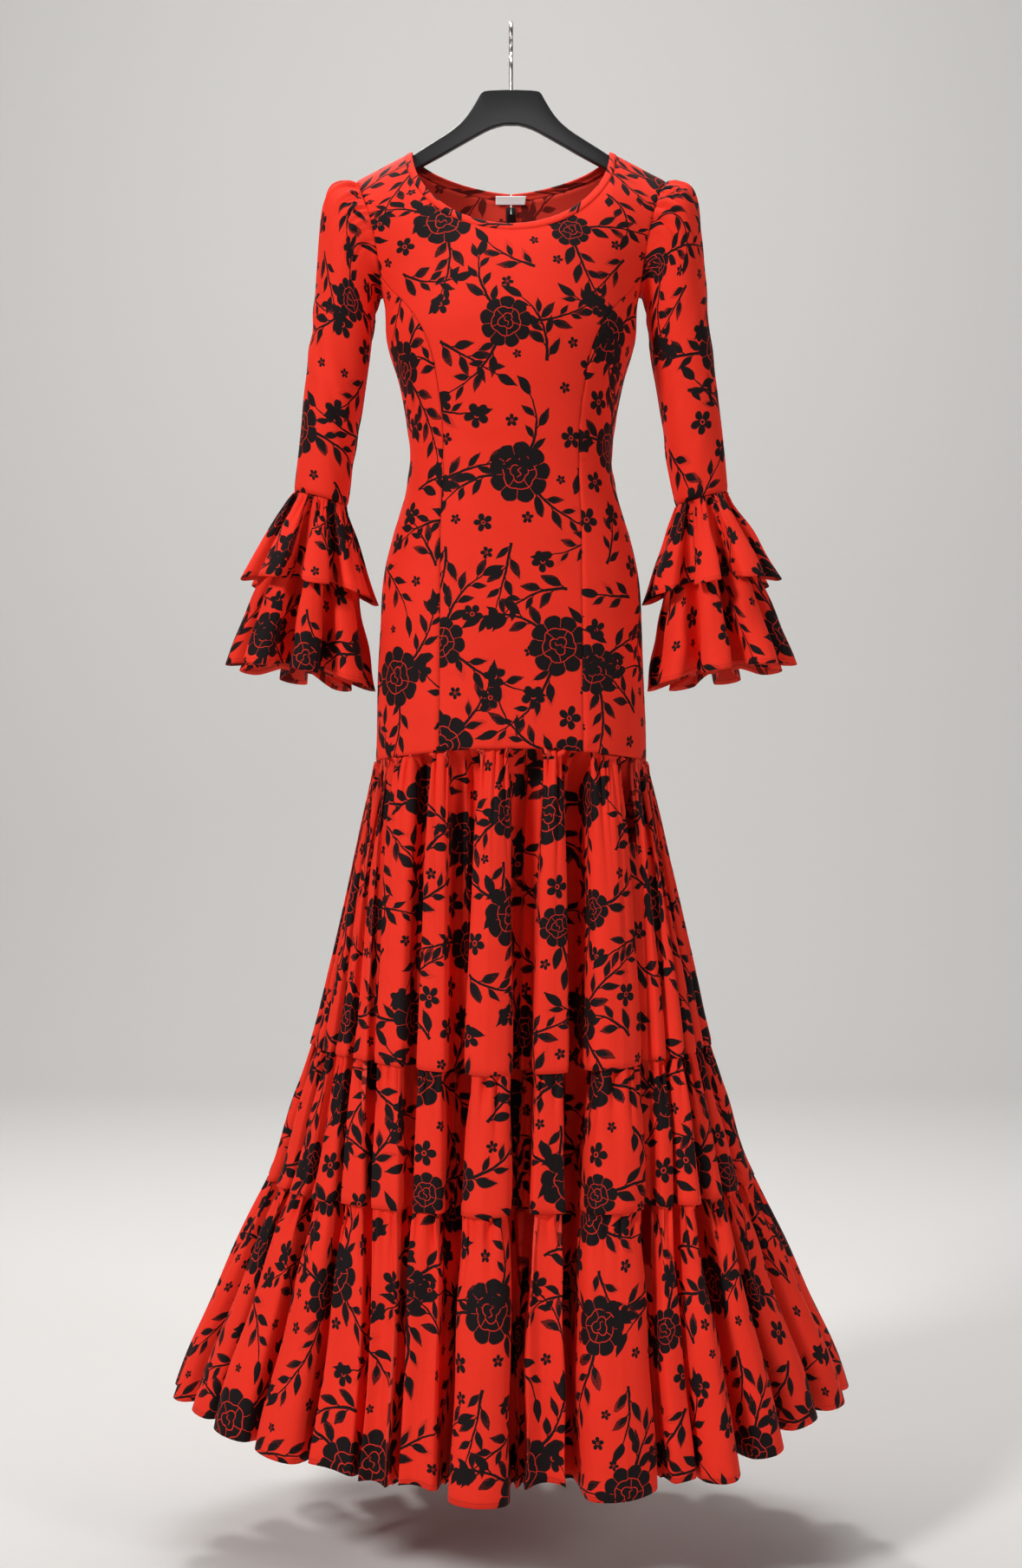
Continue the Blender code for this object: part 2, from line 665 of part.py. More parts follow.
def skirt_point(column, height):
    """A point of a fold, where height gives the height wanted at each angle."""
    fold, following, share = column
    at_hem = fold["at_hem"] + (following["at_hem"] - fold["at_hem"]) * share
    at_hip = fold["at_hip"] + (following["at_hip"] - fold["at_hip"]) * share
    flare = skirt_flare(height(at_hem))
    degrees = skirt_place(at_hip, at_hem, flare)
    z = height(degrees)
    ends = [skirt_outline(skirt_place(row["at_hip"], row["at_hem"], flare), z)[0] for row in (fold, following)]
    width = np.linalg.norm(ends[1] - ends[0])
    deep = FOLD_DEPTH_AT_HIP + (FOLD_DEPTH_AT_HEM - FOLD_DEPTH_AT_HIP) * max(flare, 0.0) ** FOLD_GROWTH
    deep *= fold["depth"] + (following["depth"] - fold["depth"]) * share
    valley = min(deep * width, DEEPEST_FOLD)
    point, out = skirt_outline(degrees, z)
    arch = math.sin(math.pi * share)
    inward = valley * (1 - arch**FOLD_ROUND) + fold["recess"] * flare * arch
    return point - out * inward


def tier_rows(tier, columns):
    """Rows from a tier's lower edge up to its upper one."""
    count = int(TIERS.read("rows", tier))
    rows = []
    for k in range(count + 1):
        up = k / count

        def height(degrees, up=up):
            low = tier_height(tier, "bottom", degrees)
            return low + (tier_height(tier, "top", degrees) - SEAM_GAP - low) * up

        row = [skirt_point(column, height) for column in columns]
        if tier == LAST_TIER:
            for point, (fold, _, share) in zip(row, columns):
                point[2] += fold["recess"] * RECESS_LIFT * math.sin(math.pi * share) * (1 - up)
        rows.append(row)
    return rows


def side_crest(columns, degrees):
    """Index of the crest of the fold at a side seam."""
    crests = [j for j, (_, _, share) in enumerate(columns) if abs(share - 0.5) < 1e-6]
    return min(crests, key=lambda j: abs((columns[j][0]["at_hem"] + columns[j][1]["at_hem"]) / 2 - degrees))


def trimmed(rows):
    """The rows with both ends drawn back by half a seam gap."""
    made = []
    for row in rows:
        row = [point.copy() for point in row]
        for end, inner in ((0, 1), (-1, -2)):
            along = row[inner] - row[end]
            row[end] = row[end] + along / np.linalg.norm(along) * SEAM_GAP / 2
        made.append(row)
    return made


def add_skirt(finish, collection):
    columns = skirt_columns()
    left, right = side_crest(columns, 90), side_crest(columns, 270)
    for tier in range(1, LAST_TIER + 1):
        rows = tier_rows(tier, columns)
        front = [row[right:] + row[: left + 1] for row in rows]
        back = [row[left : right + 1] for row in rows]
        cloth(f"skirt_tier_{tier}_front", trimmed(front), finish, collection)
        cloth(f"skirt_tier_{tier}_back", trimmed(back), finish, collection)


# ---------------------------------------------------------------- zip
@functools.cache
def back_line():
    """(heights, distances) down the back's middle edge, through the same points as the panel."""
    points = sorted((row[0][2], row[0][1]) for row in back_rows())
    return tuple(zip(*points))


def back_middle(z):
    """Distance of the back's wall middle from the plane of the origin."""
    return float(np.interp(z, *back_line()))


def strip(inner, outer, top, bottom, inward):
    """Rows of a strip behind the back seam, between two distances from the middle."""
    between = [z for z in back_line()[0] if bottom + LEAST_STRIP < z < top - LEAST_STRIP]
    heights = (bottom, *between, top)
    return [[np.array([x, back_middle(z) - inward, z]) for x in (outer, inner)] for z in heights]


def add_zip(tape, coil, collection):
    inward = CLOTH / 2 + ZIP_TAPE / 2 + ZIP_BEHIND
    inner = ZIP_COIL_WIDTH / 2 + ZIP_TAPE_APART
    outer = inner + ZIP_TAPE_WIDTH
    bottom = ZIP_TOP - ZIP_LENGTH
    rows = strip(inner, outer, ZIP_TOP, bottom, inward)
    cloth("zip_tape_left", rows, tape, collection, ZIP_TAPE)
    cloth("zip_tape_right", mirrored(rows), tape, collection, ZIP_TAPE)
    chain_top = SLIDER_HEIGHT - SLIDER_SIZE[2] / 2 - ZIP_COIL_BELOW_SLIDER
    half = ZIP_COIL_WIDTH / 2
    chain = strip(-half, half, chain_top, bottom + ZIP_COIL_SHORT, inward)
    cloth("zip_coil", chain, coil, collection, ZIP_COIL)


def box_mesh(name, centre, size):
    mesh = bpy.data.meshes.new(name)
    build = bmesh.new()
    bmesh.ops.create_cube(build, size=1)
    for vert in build.verts:
        vert.co = [(c + s * v) * MM for c, s, v in zip(centre, size, vert.co)]
    build.to_mesh(mesh)
    build.free()
    return mesh


def wire(name, points, radius, resolution=2):
    """A round wire through points in millimetres, with closed ends, as a curve object."""
    curve = bpy.data.curves.new(name, "CURVE")
    curve.dimensions = "3D"
    curve.bevel_depth = radius * MM
    curve.bevel_resolution = resolution
    curve.use_fill_caps = True
    spline = curve.splines.new("POLY")
    spline.points.add(len(points) - 1)
    for target, point in zip(spline.points, points):
        target.co = (*(float(v) * MM for v in point), 1)
    return bpy.data.objects.new(name, curve)


def solid_copy(source, name):
    """The object as one welded mesh."""
    bpy.context.view_layer.update()
    graph = bpy.context.evaluated_depsgraph_get()
    mesh = bpy.data.meshes.new_from_object(source.evaluated_get(graph))
    mesh.name = name
    build = bmesh.new()
    build.from_mesh(mesh)
    bmesh.ops.remove_doubles(build, verts=build.verts, dist=1e-6)
    build.to_mesh(mesh)
    build.free()
    return mesh


def add_slider_frame(name, outward, collection):
    """An empty on the back's middle line at the slider, its Y axis pointing out of the cloth."""
    fall = back_middle(SLIDER_HEIGHT - SLIDER_LEAN_BELOW) - back_middle(SLIDER_HEIGHT + SLIDER_LEAN_ABOVE)
    lean = math.atan2(fall, SLIDER_LEAN_BELOW + SLIDER_LEAN_ABOVE)
    frame = bpy.data.objects.new(name, None)
    frame.empty_display_size = 0.01
    y = back_middle(SLIDER_HEIGHT) + outward * math.cos(lean)
    z = SLIDER_HEIGHT + outward * math.sin(lean)
    frame.location = (0, y * MM, z * MM)
    frame.rotation_euler = (lean, 0, 0)
    collection.objects.link(frame)
    return frame


def add_slider(metal, collection, helpers):
    """Body inside the back, neck through the slit, and an outside staple for the pull."""
    frame = add_slider_frame("zip_slider_frame", 0, collection)
    width, depth, height = SLIDER_SIZE
    body = box_mesh("zip_slider", (0, -SLIDER_BEHIND - depth / 2, 0), (width, depth, height))
    slider = add_object("zip_slider", body, metal, collection, smooth=False)
    slider.parent = frame
    inner, outer = -SLIDER_BEHIND - depth / 2, CLOTH / 2 + NECK_PROUD
    neck = box_mesh("slider_neck", (0, (inner + outer) / 2, 0), (SLIDER_NECK, outer - inner, STAPLE_HEIGHT))
    reach = STAPLE_REACH
    high = STAPLE_HEIGHT / 2 - STAPLE_WIRE - STAPLE_INSET
    path = [(0, 0, -high), (0, reach - STAPLE_BEND, -high), (0, reach, STAPLE_BEND - high)]
    path += [(0, reach, high - STAPLE_BEND), (0, reach - STAPLE_BEND, high), (0, 0, high)]
    staple = wire("slider_staple", path, STAPLE_WIRE)
    helpers.objects.link(staple)
    for name, data in (("slider_neck", neck), ("slider_staple", solid_copy(staple, "slider_staple"))):
        helper = bpy.data.objects.new(name + "_helper", data)
        helpers.objects.link(helper)
        helper.parent = frame
        helper.hide_render = True
        helper.display_type = "WIRE"
        joined = slider.modifiers.new(name, "BOOLEAN")
        joined.operation = "UNION"
        joined.object = helper
    bpy.data.objects.remove(staple, do_unlink=True)


def add_pull(metal, collection):
    """The pull tab, hanging from the staple and lying along the back below it."""
    axis = add_slider_frame("zip_pull_hinge", PULL_AXIS_OUT, collection)
    curve = bpy.data.curves.new("zip_pull_outline", "CURVE")
    curve.dimensions = "2D"
    curve.fill_mode = "BOTH"
    curve.extrude = PULL_THICKNESS / 2 * MM
    top = PULL_BAR / 2
    outline = list(PULL_OUTLINE) + [(-x, z) for x, z in reversed(PULL_OUTLINE)]
    wide, tall = PULL_WINDOW
    hole_top = top - PULL_BAR
    half, low = wide / 2, hole_top - tall
    window = [(-half, hole_top), (-half, low), (half, low), (half, hole_top)]
    for ring in (outline, window):
        spline = curve.splines.new("POLY")
        spline.points.add(len(ring) - 1)
        spline.use_cyclic_u = True
        for target, (x, z) in zip(spline.points, ring):
            target.co = (x * MM, z * MM, 0, 1)
    flat = bpy.data.objects.new("zip_pull_flat", curve)
    collection.objects.link(flat)
    mesh = solid_copy(flat, "zip_pull")
    bpy.data.objects.remove(flat, do_unlink=True)
    mesh.materials.clear()
    pull = add_object("zip_pull", mesh, metal, collection, smooth=False)
    pull.parent = axis
    pull.rotation_euler = (math.pi / 2, 0, 0)


# ---------------------------------------------------------------- hanger
def hanger_outline():
    """The hanger's outline in the XZ plane, clockwise from the top middle."""
    arm = [(x, shoulder_height(x) - HANGER_UNDER_SHOULDER) for x in (*HANGER_ARM_COLUMNS, HANGER_HALF_LENGTH)]
    end_x, end_z = arm[-1]
    radius = HANGER_ARM / 2
    centre_x, centre_z = end_x - HANGER_TIP_BACK, end_z - radius
    turns = [math.radians(a) for a in HANGER_TIP_TURNS]
    tip = [(centre_x + radius * math.cos(t), centre_z + radius * math.sin(t)) for t in turns]
    right = list(HANGER_TOP) + arm[:-1] + tip + list(reversed(HANGER_UNDER))
    left = [(-x, z) for x, z in reversed(right) if x > 0]
    return right + left


def add_hanger(finish, metal, collection):
    curve = bpy.data.curves.new("hanger_outline", "CURVE")
    curve.dimensions = "2D"
    curve.fill_mode = "BOTH"
    curve.extrude = HANGER_HALF_THICKNESS * MM
    spline = curve.splines.new("POLY")
    points = hanger_outline()
    spline.points.add(len(points) - 1)
    spline.use_cyclic_u = True
    for target, (x, z) in zip(spline.points, points):
        target.co = (x * MM, z * MM, 0, 1)
    flat = bpy.data.objects.new("hanger_flat", curve)
    flat.rotation_euler = (math.pi / 2, 0, 0)
    collection.objects.link(flat)
    mesh = solid_copy(flat, "hanger_body")
    bpy.data.objects.remove(flat, do_unlink=True)
    mesh.materials.clear()
    body = add_object("hanger_body", mesh, finish, collection, smooth=False)
    body.rotation_euler = (math.pi / 2, 0, 0)
    edge = body.modifiers.new("Edge", "BEVEL")
    edge.width = HANGER_EDGE * MM
    edge.segments = 1
    edge.limit_method = "ANGLE"
    edge.angle_limit = math.radians(HANGER_EDGE_ANGLE)
    add_hook(metal, collection)


def add_hook(metal, collection):
    """The hook's wire: up from the hanger, round behind the rail, over it and down in front."""
    radius = HOOK_INSIDE + HOOK_WIRE
    centre = -HOOK_INSIDE
    path = [(0, 0, HANGER_TOP[0][1] + HOOK_ABOVE_HANGER)]
    path += [(0, y, centre - radius + z) for y, z in HOOK_KINK]
    for turn in np.radians(np.linspace(HOOK_START, HOOK_START + HOOK_BEND, HOOK_BEND_POINTS)):
        path.append((0, radius * math.cos(turn), centre + radius * math.sin(turn)))
    hook = wire("hanger_hook", path, HOOK_WIRE)
    hook.data.materials.append(metal)
    collection.objects.link(hook)


def main():
    clear_scene()
    dress = bpy.data.collections.new("flamenco dress on a hanger")
    helpers = bpy.data.collections.new("helpers")
    bpy.context.scene.collection.children.link(dress)
    bpy.context.scene.collection.children.link(helpers)
    crepe = material("red crepe", "#EA3327", 0.75)
    white = material("white label satin", "#F4F2F0", 0.6)
    tape = material("black zip tape", "#141214", 0.8)
    coil = material("grey nylon coil", "#8A878A", 0.4)
    metal = material("polished steel", "#D8D6D4", 0.2, 1.0)
    plastic = material("black satin plastic", "#2B2A2C", 0.45)
    add_bodice(crepe, dress)
    add_neck_binding(crepe, dress)
    add_label(white, dress)
    add_sleeves(crepe, dress)
    add_skirt(crepe, dress)
    add_zip(tape, coil, dress)
    add_slider(metal, dress, helpers)
    add_pull(metal, dress)
    add_hanger(plastic, metal, dress)


if __name__ == "__main__":
    main()
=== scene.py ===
"""Flamenco dress on a flat clothes hanger: the looks of each piece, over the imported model's frame.

Lengths in the tables are in millimetres and are turned to metres as each mesh is made. The origin is where
the hook's inside bears on the rail, +Z is up, and the dress faces -Y, so the wearer's left is +X.
"""

import functools
import math

import bpy
import mathutils
import numpy as np
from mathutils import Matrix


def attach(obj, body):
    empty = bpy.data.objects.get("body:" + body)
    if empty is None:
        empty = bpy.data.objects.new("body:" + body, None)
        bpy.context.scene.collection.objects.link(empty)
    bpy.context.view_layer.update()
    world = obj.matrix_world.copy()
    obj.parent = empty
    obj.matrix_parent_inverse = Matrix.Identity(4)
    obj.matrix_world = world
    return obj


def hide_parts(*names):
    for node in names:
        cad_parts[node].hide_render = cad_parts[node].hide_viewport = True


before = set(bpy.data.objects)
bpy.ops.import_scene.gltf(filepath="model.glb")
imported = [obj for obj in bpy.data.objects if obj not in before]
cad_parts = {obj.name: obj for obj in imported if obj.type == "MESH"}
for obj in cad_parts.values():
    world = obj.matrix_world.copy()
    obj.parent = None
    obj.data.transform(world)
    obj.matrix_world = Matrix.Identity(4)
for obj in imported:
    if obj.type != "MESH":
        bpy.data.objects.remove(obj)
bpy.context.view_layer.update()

bl_info = {
    "name": "Flamenco dress",
    "version": (1, 0, 0),
    "blender": (4, 5, 0),
    "location": "3D View > Sidebar > Dress",
    "description": "Builds a printed flamenco dress on its hanger, piece by piece",
    "category": "Object",
}

MM = 0.001
BODY_NAME = "dress"

# ---------------------------------------------------------------- the dress's cut, in millimetres
ROUNDNESS = 2.2
NECK_HALF_WIDTH = 113.5
NECK_HEIGHT = -146.0
NECK_DROPS = {"front": (104.0, 2.0), "back": (34.0, 1.5)}
ROUND_OFF = {"front": (224.0, 1.4, 0.7), "back": (150.0, 1.6, 0.55)}
BINDING_WIDTH = 7.5
SHOULDER_TIP = 178.0
SHOULDER_SLOPE = 0.52
UNDERARM = (148.0, -312.0)
ARMHOLE_BOW = 6.0
JOIN_SHARE = 0.87
ARMHOLE_TURN = 0.2
# How far up a panel its rows begin to rise to the neckline and its columns to turn to it, and how sharply.
ROWS_RISE = (0.75, 1.8)
COLUMNS_TURN = (0.8, 3.0)
HIP_FRONT_HEIGHT = -835.0
HIP_SIDE_HEIGHT = -850.0
TIER_GROWTH = 2.0
RECESS_LIFT = 0.35
HEM_CURVE = 3
LAST_TIER = 3
WAIST_HEIGHT = -505.0
FOLD_DEPTH_AT_HIP = 0.28
FOLD_DEPTH_AT_HEM = 1.05
DEEPEST_FOLD = 90.0
FOLD_GROWTH = 0.34
VALLEY_AT_HIP = 0.21
VALLEY_AT_HEM = 0.1
BACK_OF_SKIRT = (110, 250)
NO_EDGE = 999.0
STITCH_IN = 5.0
FEWEST_COLUMNS = 30


class Table:
    """Sizes in millimetres with named columns; the first column is what the others are read against."""

    def __init__(self, columns, *rows):
        self.columns = columns.split()
        self.rows = np.array(sorted(rows), float)
        self.slopes = np.gradient(self.rows, self.rows[:, 0], axis=0)

    def column(self, name):
        return self.rows[:, self.columns.index(name)]

    def read(self, name, at):
        """The column's values on a smooth curve through its rows."""
        keys, values = self.rows[:, 0], self.column(name)
        slopes = self.slopes[:, self.columns.index(name)]
        at = np.clip(at, keys[0], keys[-1])
        i = np.clip(np.searchsorted(keys, at) - 1, 0, len(keys) - 2)
        step = keys[i + 1] - keys[i]
        t = (at - keys[i]) / step
        ends = (2 * t**3 - 3 * t**2 + 1) * values[i] + (3 * t**2 - 2 * t**3) * values[i + 1]
        return ends + (t**3 - 2 * t**2 + t) * step * slopes[i] + (t**3 - t**2) * step * slopes[i + 1]


# Above the underarm the half width is that of the whole rounded section, which the armholes cut off.
BODY = Table(
    "height half_width front_depth back_depth",
    (-146, 420, 125, 95),
    (-202, 375, 125, 95),
    (-225, 259, 125, 95),
    (-250, 200, 125, 95),
    (-280, 164, 125, 95),
    (-312, 148, 125, 95),
    (-370, 141.5, 125, 93),
    (-410, 129.5, 118, 89),
    (-450, 121.5, 107, 85),
    (-505, 116, 96, 83),
    (-550, 124, 96, 90),
    (-590, 136, 98, 99),
    (-630, 145, 101, 107),
    (-700, 150.5, 106, 117),
    (-800, 154, 112, 124),
    (-850, 155.5, 115, 126),
)
PRINCESS = Table(
    "height half_width",
    (-294.8, 149.5),
    (-312, 138),
    (-334, 120),
    (-372, 97),
    (-440, 80),
    (-600, 79),
    (-850, 80),
)
SKIRT = Table(
    "height half_width front_depth back_depth",
    (-835, 154, 114, 125),
    (-870, 163, 120, 131),
    (-950, 181, 136, 142),
    (-1070, 208, 157, 160),
    (-1170, 231.5, 178, 177),
    (-1230, 250, 191, 190),
    (-1310, 275, 209, 207),
    (-1370, 303, 226, 222),
    (-1450, 338, 245, 239),
    (-1530, 376, 264, 256),
    (-1600, 398, 276, 268),
    (-1625, 404, 280, 271),
)
TIERS = Table(
    "tier top_front top_side bottom_front bottom_side",
    (1, -835, -850, -1187, -1170),
    (2, -1187, -1170, -1332, -1324),
    (3, -1332, -1324, -1618, -1567),
)
# How finely a tier is drawn, with the spacing of its columns at the top, and its short pleats.
TIER_FACES = Table(
    "tier rows spacing pleats pleat_reach",
    (1, 60, 0.85, 96, 95),
    (2, 28, 1.3, 108, 60),
    (3, 41, 1.7, 118, 66),
)
SHORT_PLEAT_DEPTH = 2.9
LONG_PLEATS = Table(
    "tier count width depth reach",
    (1, 60, 5.5, 4.5, 330),
    (2, 70, 7.5, 3.5, 150),
    (3, 76, 9.0, 4.5, 260),
)
# Where the tiers and ruffles were cut from the printed cloth, for each step in tier or seed.
TIER_CUT = (83.0, 140.0)
RUFFLE_CUT = (37.0, 51.0)
# A fold's row: angles round the skirt of its first valley at the hem and at the hip, the valley's depth, and
# how far the crest lies inside.
FOLDS = Table(
    "at_hem at_hip depth recess",
    (1, 5, 1.0, 40),
    (10, 27, 0.95, -4),
    (25, 61, 1.05, 5),
    (30, 68, 0.8, -18),
    (39, 74, 0.95, -6),
    (51, 80, 1.0, 8),
    (66, 85, 0.95, 0),
    (82, 89, 0.9, 0),
    (98, 94, 0.9, 5),
    (112, 99, 1.0, 0),
    (126, 105, 0.9, 14),
    (139, 113, 1.0, 0),
    (152, 127, 0.95, 24),
    (165, 148, 1.0, 0),
    (178, 176, 0.95, 10),
    (191, 204, 1.0, 0),
    (204, 230, 0.9, 22),
    (217, 246, 1.0, 0),
    (230, 255, 0.95, 8),
    (244, 262, 0.9, 0),
    (259, 267, 0.9, 0),
    (274, 272, 0.9, 0),
    (287, 277, 0.95, 6),
    (301, 282, 1.0, 4),
    (313, 287, 0.95, 3),
    (325, 292, 1.0, 20),
    (335.5, 298, 0.95, 20),
    (341, 320, 0.85, 26),
    (349, 342, 1.0, 0),
)
# From the valley's bottom, at 0, to the crest, at 1. floor counts in half widths of the valley, and crest in
# half folds.
FOLD_SECTION = Table(
    "along floor crest height",
    (0, 0, 0, 0),
    (0.16, 0.9, 0, 0.03),
    (0.28, 1.08, 0, 0.32),
    (0.38, 1.0, 0, 0.58),
    (0.48, 0.94, 0.03, 0.73),
    (0.6, 0.8, 0.14, 0.85),
    (0.8, 0.42, 0.53, 0.96),
    (1.0, 0, 1.0, 1.0),
)
SLEEVE = Table(
    "section outer_x outer_z inner_x inner_z half_depth",
    (0, 178, -179.5, 148, -312, 45),
    (1, 192, -177.5, 152.0, -313, 48),
    (2, 207, -184, 153.5, -318, 51),
    (3, 215, -203, 155, -326, 52),
    (4, 219.5, -240, 156.5, -336, 52),
    (5, 223, -285, 158.5, -352, 50),
    (6, 229, -345, 163, -385, 46),
    (7, 236.5, -410, 171.5, -440, 42),
    (8, 243, -475, 180.5, -495, 38),
    (9, 249.5, -538, 190, -554, 32),
)
HEAD_SECTIONS = 4
HEAD_TURN = 1.5
RUFFLES = Table(
    "tier length crest_at_top crest_at_hem fold_at_hem",
    (1, 101, 30.5, 81, 23),
    (2, 200, 26.0, 87, 30),
)
RUFFLE_VALLEYS = (-31, 13, 58, 103, 147, 190, 234, 281)
WRIST_LEAN = 0.115
RUFFLE_TILTS = (0.27, 0.16)
RUFFLE_FOLD_AT_TOP = 1.5
RUFFLE_FOLD_GROWTH = 0.9
RUFFLE_VALLEY = 0.21
RUFFLE_COLUMNS = 36
RUFFLE_TUCK = 0.6
RUFFLE_FLARE = 0.8  # how much of the widest row's cloth the flared cut has
RUFFLE_DEEPER = 1.65
RUFFLE_DIP = 10.0
RUFFLE_BACK_DROP = 6.0
# The hanger's outline from its middle out, and the points where its arms turn into straight ones.
HANGER = Table(
    "across top under",
    (0, -74.5, -114.5),
    (8, -74.6, -115.0),
    (16, -74.8, -116.4),
    (24, -75.1, -119.2),
    (30, -75.8, -122.0),
    (33, -77.0, -123.6),
    (35, -79.2, -124.7),
    (38, -84.6, -126.4),
    (42, -91.6, -128.6),
    (46, -98.0, -130.9),
    (50, -103.8, -133.1),
    (55, -109.8, -136.0),
    (60, -114.6, -138.8),
    (67, -120.4, -142.8),
    (74, -125.3, -146.9),
    (83, -131.0, -151.9),
    (92, -136.7, -156.7),
    (102, -143.0, -162.0),
    (112, -149.5, -167.6),
    (124, -157.0, -174.6),
    (140, -165.3, -184.6),
    (156, -173.6, -193.6),
    (167, -179.3, -199.3),
    (171, -182.2, -200.5),
    (174, -184.9, -199.9),
    (176, -187.6, -198.0),
)
HANGER_THICKNESS = 10.0
HANGER_EDGE = 2.4
HOOK_WIRE = 2.3
HOOK_INSIDE = 17.0
HOOK_BEND = 250.0
HOOK_START = -58.0
HOOK_TURN_IN = 21.7
HOOK_FOOT = -74.2
# ---------------------------------------------------------------- the body's surface
def shoulder_height(x):
    return NECK_HEIGHT - SHOULDER_SLOPE * np.maximum(0.0, np.abs(x) - NECK_HALF_WIDTH)


def body_angle(x, z):
    share = np.minimum(np.abs(x) / BODY.read("half_width", z), 1.0)
    return np.copysign(np.arcsin(share ** (ROUNDNESS / 2)), x)


def body_point(face, angle, z, inward=0.0):
    """Points on the front or back of the body, at angles from its middle."""
    angle, z = np.broadcast_arrays(np.asarray(angle, float), np.asarray(z, float))
    x = BODY.read("half_width", z) * np.abs(np.sin(angle)) ** (2 / ROUNDNESS)
    x = np.copysign(x, angle)
    reach, bend, power = ROUND_OFF[face]
    share = np.clip((shoulder_height(x) - z) / reach, 0.0, 1.0)
    depth = BODY.read(face + "_depth", z) * (1 - (1 - share) ** bend) ** power
    depth = depth * np.maximum(np.cos(angle), 0.0) ** (2 / ROUNDNESS)
    away = -1 if face == "front" else 1
    return np.stack([x, away * (depth - inward), z], axis=-1)


def at_surface(face, x, z):
    return body_point(face, body_angle(x, z), z)


def hip_height(angle):
    return HIP_SIDE_HEIGHT + (HIP_FRONT_HEIGHT - HIP_SIDE_HEIGHT) * np.cos(angle) ** 2


def armhole(share):
    """(x, height) on the armhole, from the shoulder tip to the underarm."""
    share = np.asarray(share, float)
    tip = shoulder_height(SHOULDER_TIP)
    x = SHOULDER_TIP + (UNDERARM[0] - SHOULDER_TIP) * share - ARMHOLE_BOW * np.sin(math.pi * share)
    return x, tip + (UNDERARM[1] - tip) * share


def neck_edge(face, turn, down):
    """(x, height) this far below the neckline, at turns from 0 at its middle to a right angle at the
    shoulder."""
    drop, power = NECK_DROPS[face]
    out = NECK_HALF_WIDTH + down
    share = np.abs(np.sin(turn))
    top = shoulder_height(out)
    fall = drop + down + top - NECK_HEIGHT
    return out * share, top - fall * np.maximum(1 - share**power, 0.0) ** (1 / power)


# ---------------------------------------------------------------- bodice panels
SIDE_ROWS = 109


def top_columns(face):
    """(x, height) along the upper edge of a front or back, from its middle out to the shoulder tip."""
    turns = np.radians(np.concatenate([np.linspace(0, 60, 19), [64, 68, 72, 76, 80, 84, 87, 89.5]]))
    x, z = neck_edge(face, turns, BINDING_WIDTH)
    out = np.linspace(NECK_HALF_WIDTH + BINDING_WIDTH + 2, SHOULDER_TIP, 15)
    return np.concatenate([x, out]), np.concatenate([z, shoulder_height(out)])


def half_panel(face, edge, low):
    """Grid up a panel from the body's middle to its side edge, given as (x, height) from the hip up. Its
    columns start evenly spaced and its rows level, and both turn to fit the neckline near the top."""
    bottom, peak = edge[0][1], edge[-1][1]
    tip = body_angle(SHOULDER_TIP, peak)
    x_top, z_top = top_columns(face)
    out = body_angle(x_top, peak) / tip
    run = run_along(np.stack([x_top, z_top], axis=-1)[None], 1)[0]
    even = run / run[-1]
    z_low = low(even * body_angle(edge[0][0], bottom))
    rows = []
    for x_side, z_side in edge:
        up = (z_side - bottom) / (peak - bottom)
        turned = [max(0.0, (up - start) / (1 - start)) ** power for start, power in (ROWS_RISE, COLUMNS_TURN)]
        rise, turn = turned
        x = body_point(face, (even + (out - even) * turn) * body_angle(x_side, z_side), z_side)[..., 0]
        rows.append(at_surface(face, x, z_low + (peak - z_low) * up + (z_top - peak) * rise))
    return np.array(rows)


def over_middle(half):
    """The whole width from the half on the +X side."""
    return np.concatenate([half[:, :0:-1] * (-1, 1, 1), half], axis=1)


def mirrored(grid):
    return grid[:, ::-1] * (-1, 1, 1)


def seam_low():
    """The princess seam's height at the hip."""
    width = PRINCESS.read("half_width", HIP_FRONT_HEIGHT)
    return float(hip_height(body_angle(width, HIP_FRONT_HEIGHT)))


def princess_edge():
    """(x, height) up the princess seam and on round the armhole."""
    join = float(armhole(JOIN_SHARE)[1])
    heights = np.linspace(seam_low(), join, 105)
    seam = list(zip(PRINCESS.read("half_width", heights), heights))
    return seam[:-1] + list(zip(*armhole(np.linspace(JOIN_SHARE, 0, 26))))


def side_seam_edge():
    """(x, height) up the side seam and on round the armhole."""
    heights = np.linspace(HIP_SIDE_HEIGHT, UNDERARM[1], 105)
    seam = list(zip(BODY.read("half_width", heights), heights))
    return seam[:-1] + list(zip(*armhole(np.linspace(1, 0, 30))))


def front_side_grid():
    """The narrow panel between the princess seam and the side seam."""
    join = float(armhole(JOIN_SHARE)[1])
    across = np.linspace(0, 1, 23)
    seam_heights = np.linspace(seam_low(), join, SIDE_ROWS)
    side_heights = np.linspace(HIP_SIDE_HEIGHT, UNDERARM[1], SIDE_ROWS)
    rows = []
    for seam_height, side_height in zip(seam_heights, side_heights):
        inner = body_angle(PRINCESS.read("half_width", seam_height), seam_height)
        height = seam_height + (side_height - seam_height) * across
        rows.append(body_point("front", inner + (math.pi / 2 - inner) * across, height))
    rows = np.array(rows)
    # the top row lies on the armhole, and the rows below it come round to it
    ups = np.linspace(0, 1, SIDE_ROWS)[:, None, None]
    to_armhole = at_surface("front", *armhole(JOIN_SHARE + (1 - JOIN_SHARE) * across)) - rows[-1]
    return rows + to_armhole * np.maximum(0.0, 1 - (1 - ups) / ARMHOLE_TURN)


# ---------------------------------------------------------------- grids of cloth
def steps_between(points, axis):
    return np.linalg.norm(np.diff(points, axis=axis), axis=-1)


